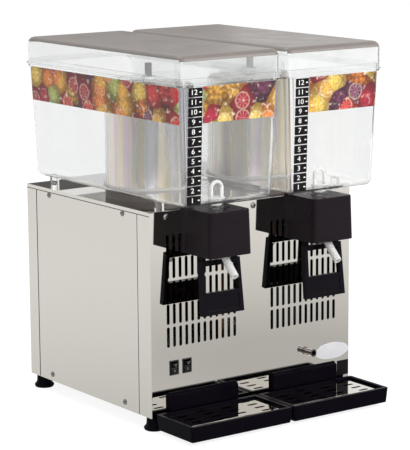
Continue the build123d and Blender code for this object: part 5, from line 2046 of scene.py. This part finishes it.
@dataclass
class Studio:
    """The floor, the lamps, the dark cards, the sky and the camera, in metres."""

    eye: Vector = Vector((-2.0016, -2.7775, 0.9338))
    azimuth: float = -35.819
    elevation: float = 10.442
    roll: float = -0.422
    lens: float = 161.07
    clear_walls: int = 28
    sky_warmth: Colour = (1.0, 0.985, 0.96)
    sky_strength: float = 0.55
    floor_size: float = 80.0
    floor_glow: float = 1.23
    # painted shade: the floor that mirrors see is darker near this spot, standing in for the shade round the
    # object
    dim_spot: tuple[float, float, float] = (0.3, -0.4, 0.0)
    dim_rate: float = 0.4
    dim_steps: Ramp = (
        (0.06, (0.56, 0.555, 0.545)), (0.28, (0.79, 0.79, 0.78)), (0.48, (0.92, 0.92, 0.915)),
        (0.7, (1.0, 1.0, 1.0)))
    middle: tuple[float, float, float] = (0.0, 0.0, 0.3)
    lamps: tuple[tuple[str, tuple[float, float, float], float, float], ...] = (
        ("key", (1.4, -2.2, 2.2), 1.4, 60.0), ("fill", (-1.035, -2.47, 1.6), 1.6, 30.0),
        ("top", (0.0, 0.6, 2.6), 1.6, 30.0))

    def camera(self) -> None:
        """Sets the camera where the photograph was taken from."""
        a, e, r = (math.radians(v) for v in (self.azimuth, self.elevation, self.roll))
        back = Vector((math.sin(a) * math.cos(e), -math.cos(a) * math.cos(e), math.sin(e)))
        right = Vector((0, 0, 1)).cross(back).normalized()
        up = back.cross(right)
        across = right * math.cos(r) + up * math.sin(r)
        above = up * math.cos(r) - right * math.sin(r)
        Bench.clear()
        bpy.ops.object.camera_add()
        camera = bpy.context.object
        place = Matrix((across, above, back)).transposed().to_4x4()
        place.translation = self.eye
        camera.matrix_world = place
        camera.data.sensor_width = 36.0
        camera.data.lens = self.lens
        camera.data.clip_start, camera.data.clip_end = 0.05, 60.0
        bpy.context.scene.camera = camera

    @staticmethod
    def background_rays(tree: bpy.types.NodeTree) -> Socket:
        """A factor of 1 for the rays that see the background straight, in metal or through glass.

        Args:
            tree: The world's nodes.

        Returns:
            The factor's socket.
        """
        path = tree.nodes.new("ShaderNodeLightPath")
        last = path.outputs["Is Camera Ray"]
        for name in ("Is Glossy Ray", "Is Transmission Ray"):
            most = tree.nodes.new("ShaderNodeMath")
            most.operation = "MAXIMUM"
            tree.links.new(last, most.inputs[0])
            tree.links.new(path.outputs[name], most.inputs[1])
            last = most.outputs[0]
        return last

    def sky(self) -> None:
        """A plain white sky, at a lower level where it only lights the object."""
        world = bpy.data.worlds.new("studio")
        bpy.context.scene.world = world
        world.use_nodes = True
        tree = world.node_tree
        tree.nodes.clear()
        shown = tree.nodes.new("ShaderNodeBackground")
        shown.inputs["Color"].default_value = (1.0, 1.0, 1.0, 1.0)
        lighting = tree.nodes.new("ShaderNodeBackground")
        lighting.inputs["Color"].default_value = (*self.sky_warmth, 1.0)
        lighting.inputs["Strength"].default_value = self.sky_strength
        mixed = tree.nodes.new("ShaderNodeMixShader")
        output = tree.nodes.new("ShaderNodeOutputWorld")
        tree.links.new(self.background_rays(tree), mixed.inputs["Fac"])
        tree.links.new(lighting.outputs[0], mixed.inputs[1])
        tree.links.new(shown.outputs[0], mixed.inputs[2])
        tree.links.new(mixed.outputs[0], output.inputs["Surface"])

    def floor(self) -> None:
        """A pale floor that shows white and keeps a soft shadow, and that mirrors see with painted shade,
        darker near the object.
        """
        Bench.clear()
        bpy.ops.mesh.primitive_plane_add(size=self.floor_size)
        floor = Bench.named("floor")
        w = Wiring("floor_paper")
        speck = ((NOISE_LOW, (0.86, 0.86, 0.855)), (NOISE_HIGH, (0.88, 0.88, 0.875)))
        w.set(Base_Color=w.ramp(w.noise(90.0, 2.0), speck), Roughness=0.9)
        reach = w.node("ShaderNodeVectorMath", operation="DISTANCE")
        w.link(w.place((1.0, 1.0, 1.0)), reach.inputs[0])
        reach.inputs[1].default_value = self.dim_spot
        # painted shade in reflections: darker steps the nearer the floor is to the object
        mirrored_painted_shade = w.ramp(w.math("MULTIPLY", reach.outputs["Value"], self.dim_rate), self.dim_steps)
        glow = w.node("ShaderNodeEmission", {"Color": (1.0, 1.0, 1.0, 1.0), "Strength": self.floor_glow})
        sheen = w.node("ShaderNodeEmission", {"Strength": 1.0})
        w.link(mirrored_painted_shade, sheen.inputs["Color"])
        path = w.node("ShaderNodeLightPath")
        straight = w.math("MAXIMUM", path.outputs["Is Camera Ray"], path.outputs["Is Transmission Ray"])
        shown = w.veil(w.math("MULTIPLY", straight, 0.7), w.shader.outputs[0], glow.outputs[0])
        # glossy rays see the floor mostly as this emission, which carries the painted shade
        w.veil(w.math("MULTIPLY", path.outputs["Is Glossy Ray"], 0.9), shown, sheen.outputs[0])
        dress(floor, w.material)

    def lamp(self, name: str, spot: Vector, aim: Vector, size: float, power: float) -> None:
        """Hangs one square soft lamp.

        Args:
            name: Name of the lamp.
            spot: Its place.
            aim: What it points at.
            size: Its width.
            power: Its power in watts.
        """
        Bench.clear()
        bpy.ops.object.light_add(type="AREA", location=spot)
        lamp = bpy.context.object
        lamp.name = name
        lamp.data.size = size
        lamp.data.energy = power
        lamp.rotation_mode = "QUATERNION"
        lamp.rotation_quaternion = (aim - spot).to_track_quat("-Z", "Y")

    def flag(self, name: str, spot: Vector, aim: Vector, size: tuple[float, float], shade: float,
             seen: Seen) -> None:
        """Stands a dark card that is seen only as a mirror image, straight or through glass.

        Args:
            name: Name of the card.
            spot: Its middle.
            aim: What it faces.
            size: Its width and height.
            shade: Its lightness.
            seen: What sees it.
        """
        Bench.clear()
        bpy.ops.mesh.primitive_plane_add(size=1.0)
        card = Bench.named(name)
        card.scale = (*size, 1.0)
        card.rotation_mode = "QUATERNION"
        card.rotation_quaternion = (aim - spot).to_track_quat("Z", "Y")
        card.location = spot
        Bench.settle(card)
        w = Wiring(name)
        w.set(Base_Color=w.shades(w.noise(30.0, 2.0), (shade,) * 3, 0.9, 1.1), Roughness=0.9)
        path = w.node("ShaderNodeLightPath")
        unseen = w.node("ShaderNodeBsdfTransparent")
        mirrored = w.math("MINIMUM", path.outputs["Glossy Depth"], 1.0)
        w.veil(mirrored, unseen.outputs[0], w.shader.outputs[0])
        dress(card, w.material)
        card.visible_camera = False
        card.visible_diffuse = False
        card.visible_glossy, card.visible_transmission = seen.value
        card.visible_shadow = False

    def build(self) -> None:
        """Sets up the whole studio."""
        self.camera()
        self.sky()
        self.floor()
        for name, spot, size, power in self.lamps:
            self.lamp(name, Vector(spot), Vector(self.middle), size, power)
        for name, spot, aim, size, shade, seen in (
                ("camera_flag", (-4.81, -1.22, 1.2), (0, 0, 1.2), (11.8, 2.4), 0.04, Seen.IN_BOTH),
                ("front_flag", (1.71, -3.05, 1.0), (0, 0, 1.0), (3.3, 2.4), 0.4, Seen.IN_GLASS),
                ("rear_flag", (0.657, 1.825, 0.82), (0.1, 0, 0.82), (1.3, 0.47), 0.08, Seen.IN_MIRRORS),
                ("ceiling_flag", (0.0, 0.0, 3.4), self.middle, (5.0, 5.0), 0.2, Seen.IN_MIRRORS),
                ("floor_flag", (-1.35, -1.87, 0.02), (-1.35, -1.87, 1.0), (4.4, 2.2), 0.16, Seen.IN_GLASS),
                ("side_flag", (-1.95, -0.85, 0.03), (-1.95, -0.85, 1.0), (1.6, 1.4), 0.18, Seen.IN_GLASS),
                ("right_flag", (2.96, 0.48, 0.6), (0, 0, 0.6), (2.2, 2.0), 0.12, Seen.IN_GLASS)):
            self.flag(name, Vector(spot), Vector(aim), size, shade, seen)
        scene = bpy.context.scene
        scene.view_settings.view_transform = "Standard"
        scene.cycles.max_bounces = self.clear_walls
        scene.cycles.transmission_bounces = self.clear_walls


def main() -> None:
    """Builds the dispenser's looks in order."""
    logging.basicConfig(level=logging.INFO, format="%(name)s: %(message)s")
    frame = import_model()
    Studio().build()
    finish = Finish()
    tank = Tank()
    CadNodes().build(frame, finish)
    SwitchMarks().build(frame, finish)
    Cabinet().build(finish)
    tank.build(finish)
    TankPrint(tank).build(finish)
    Taps().build(finish)
    DripTrays().build(finish)
    Bench.clear()


if __name__ == "__main__":
    main()
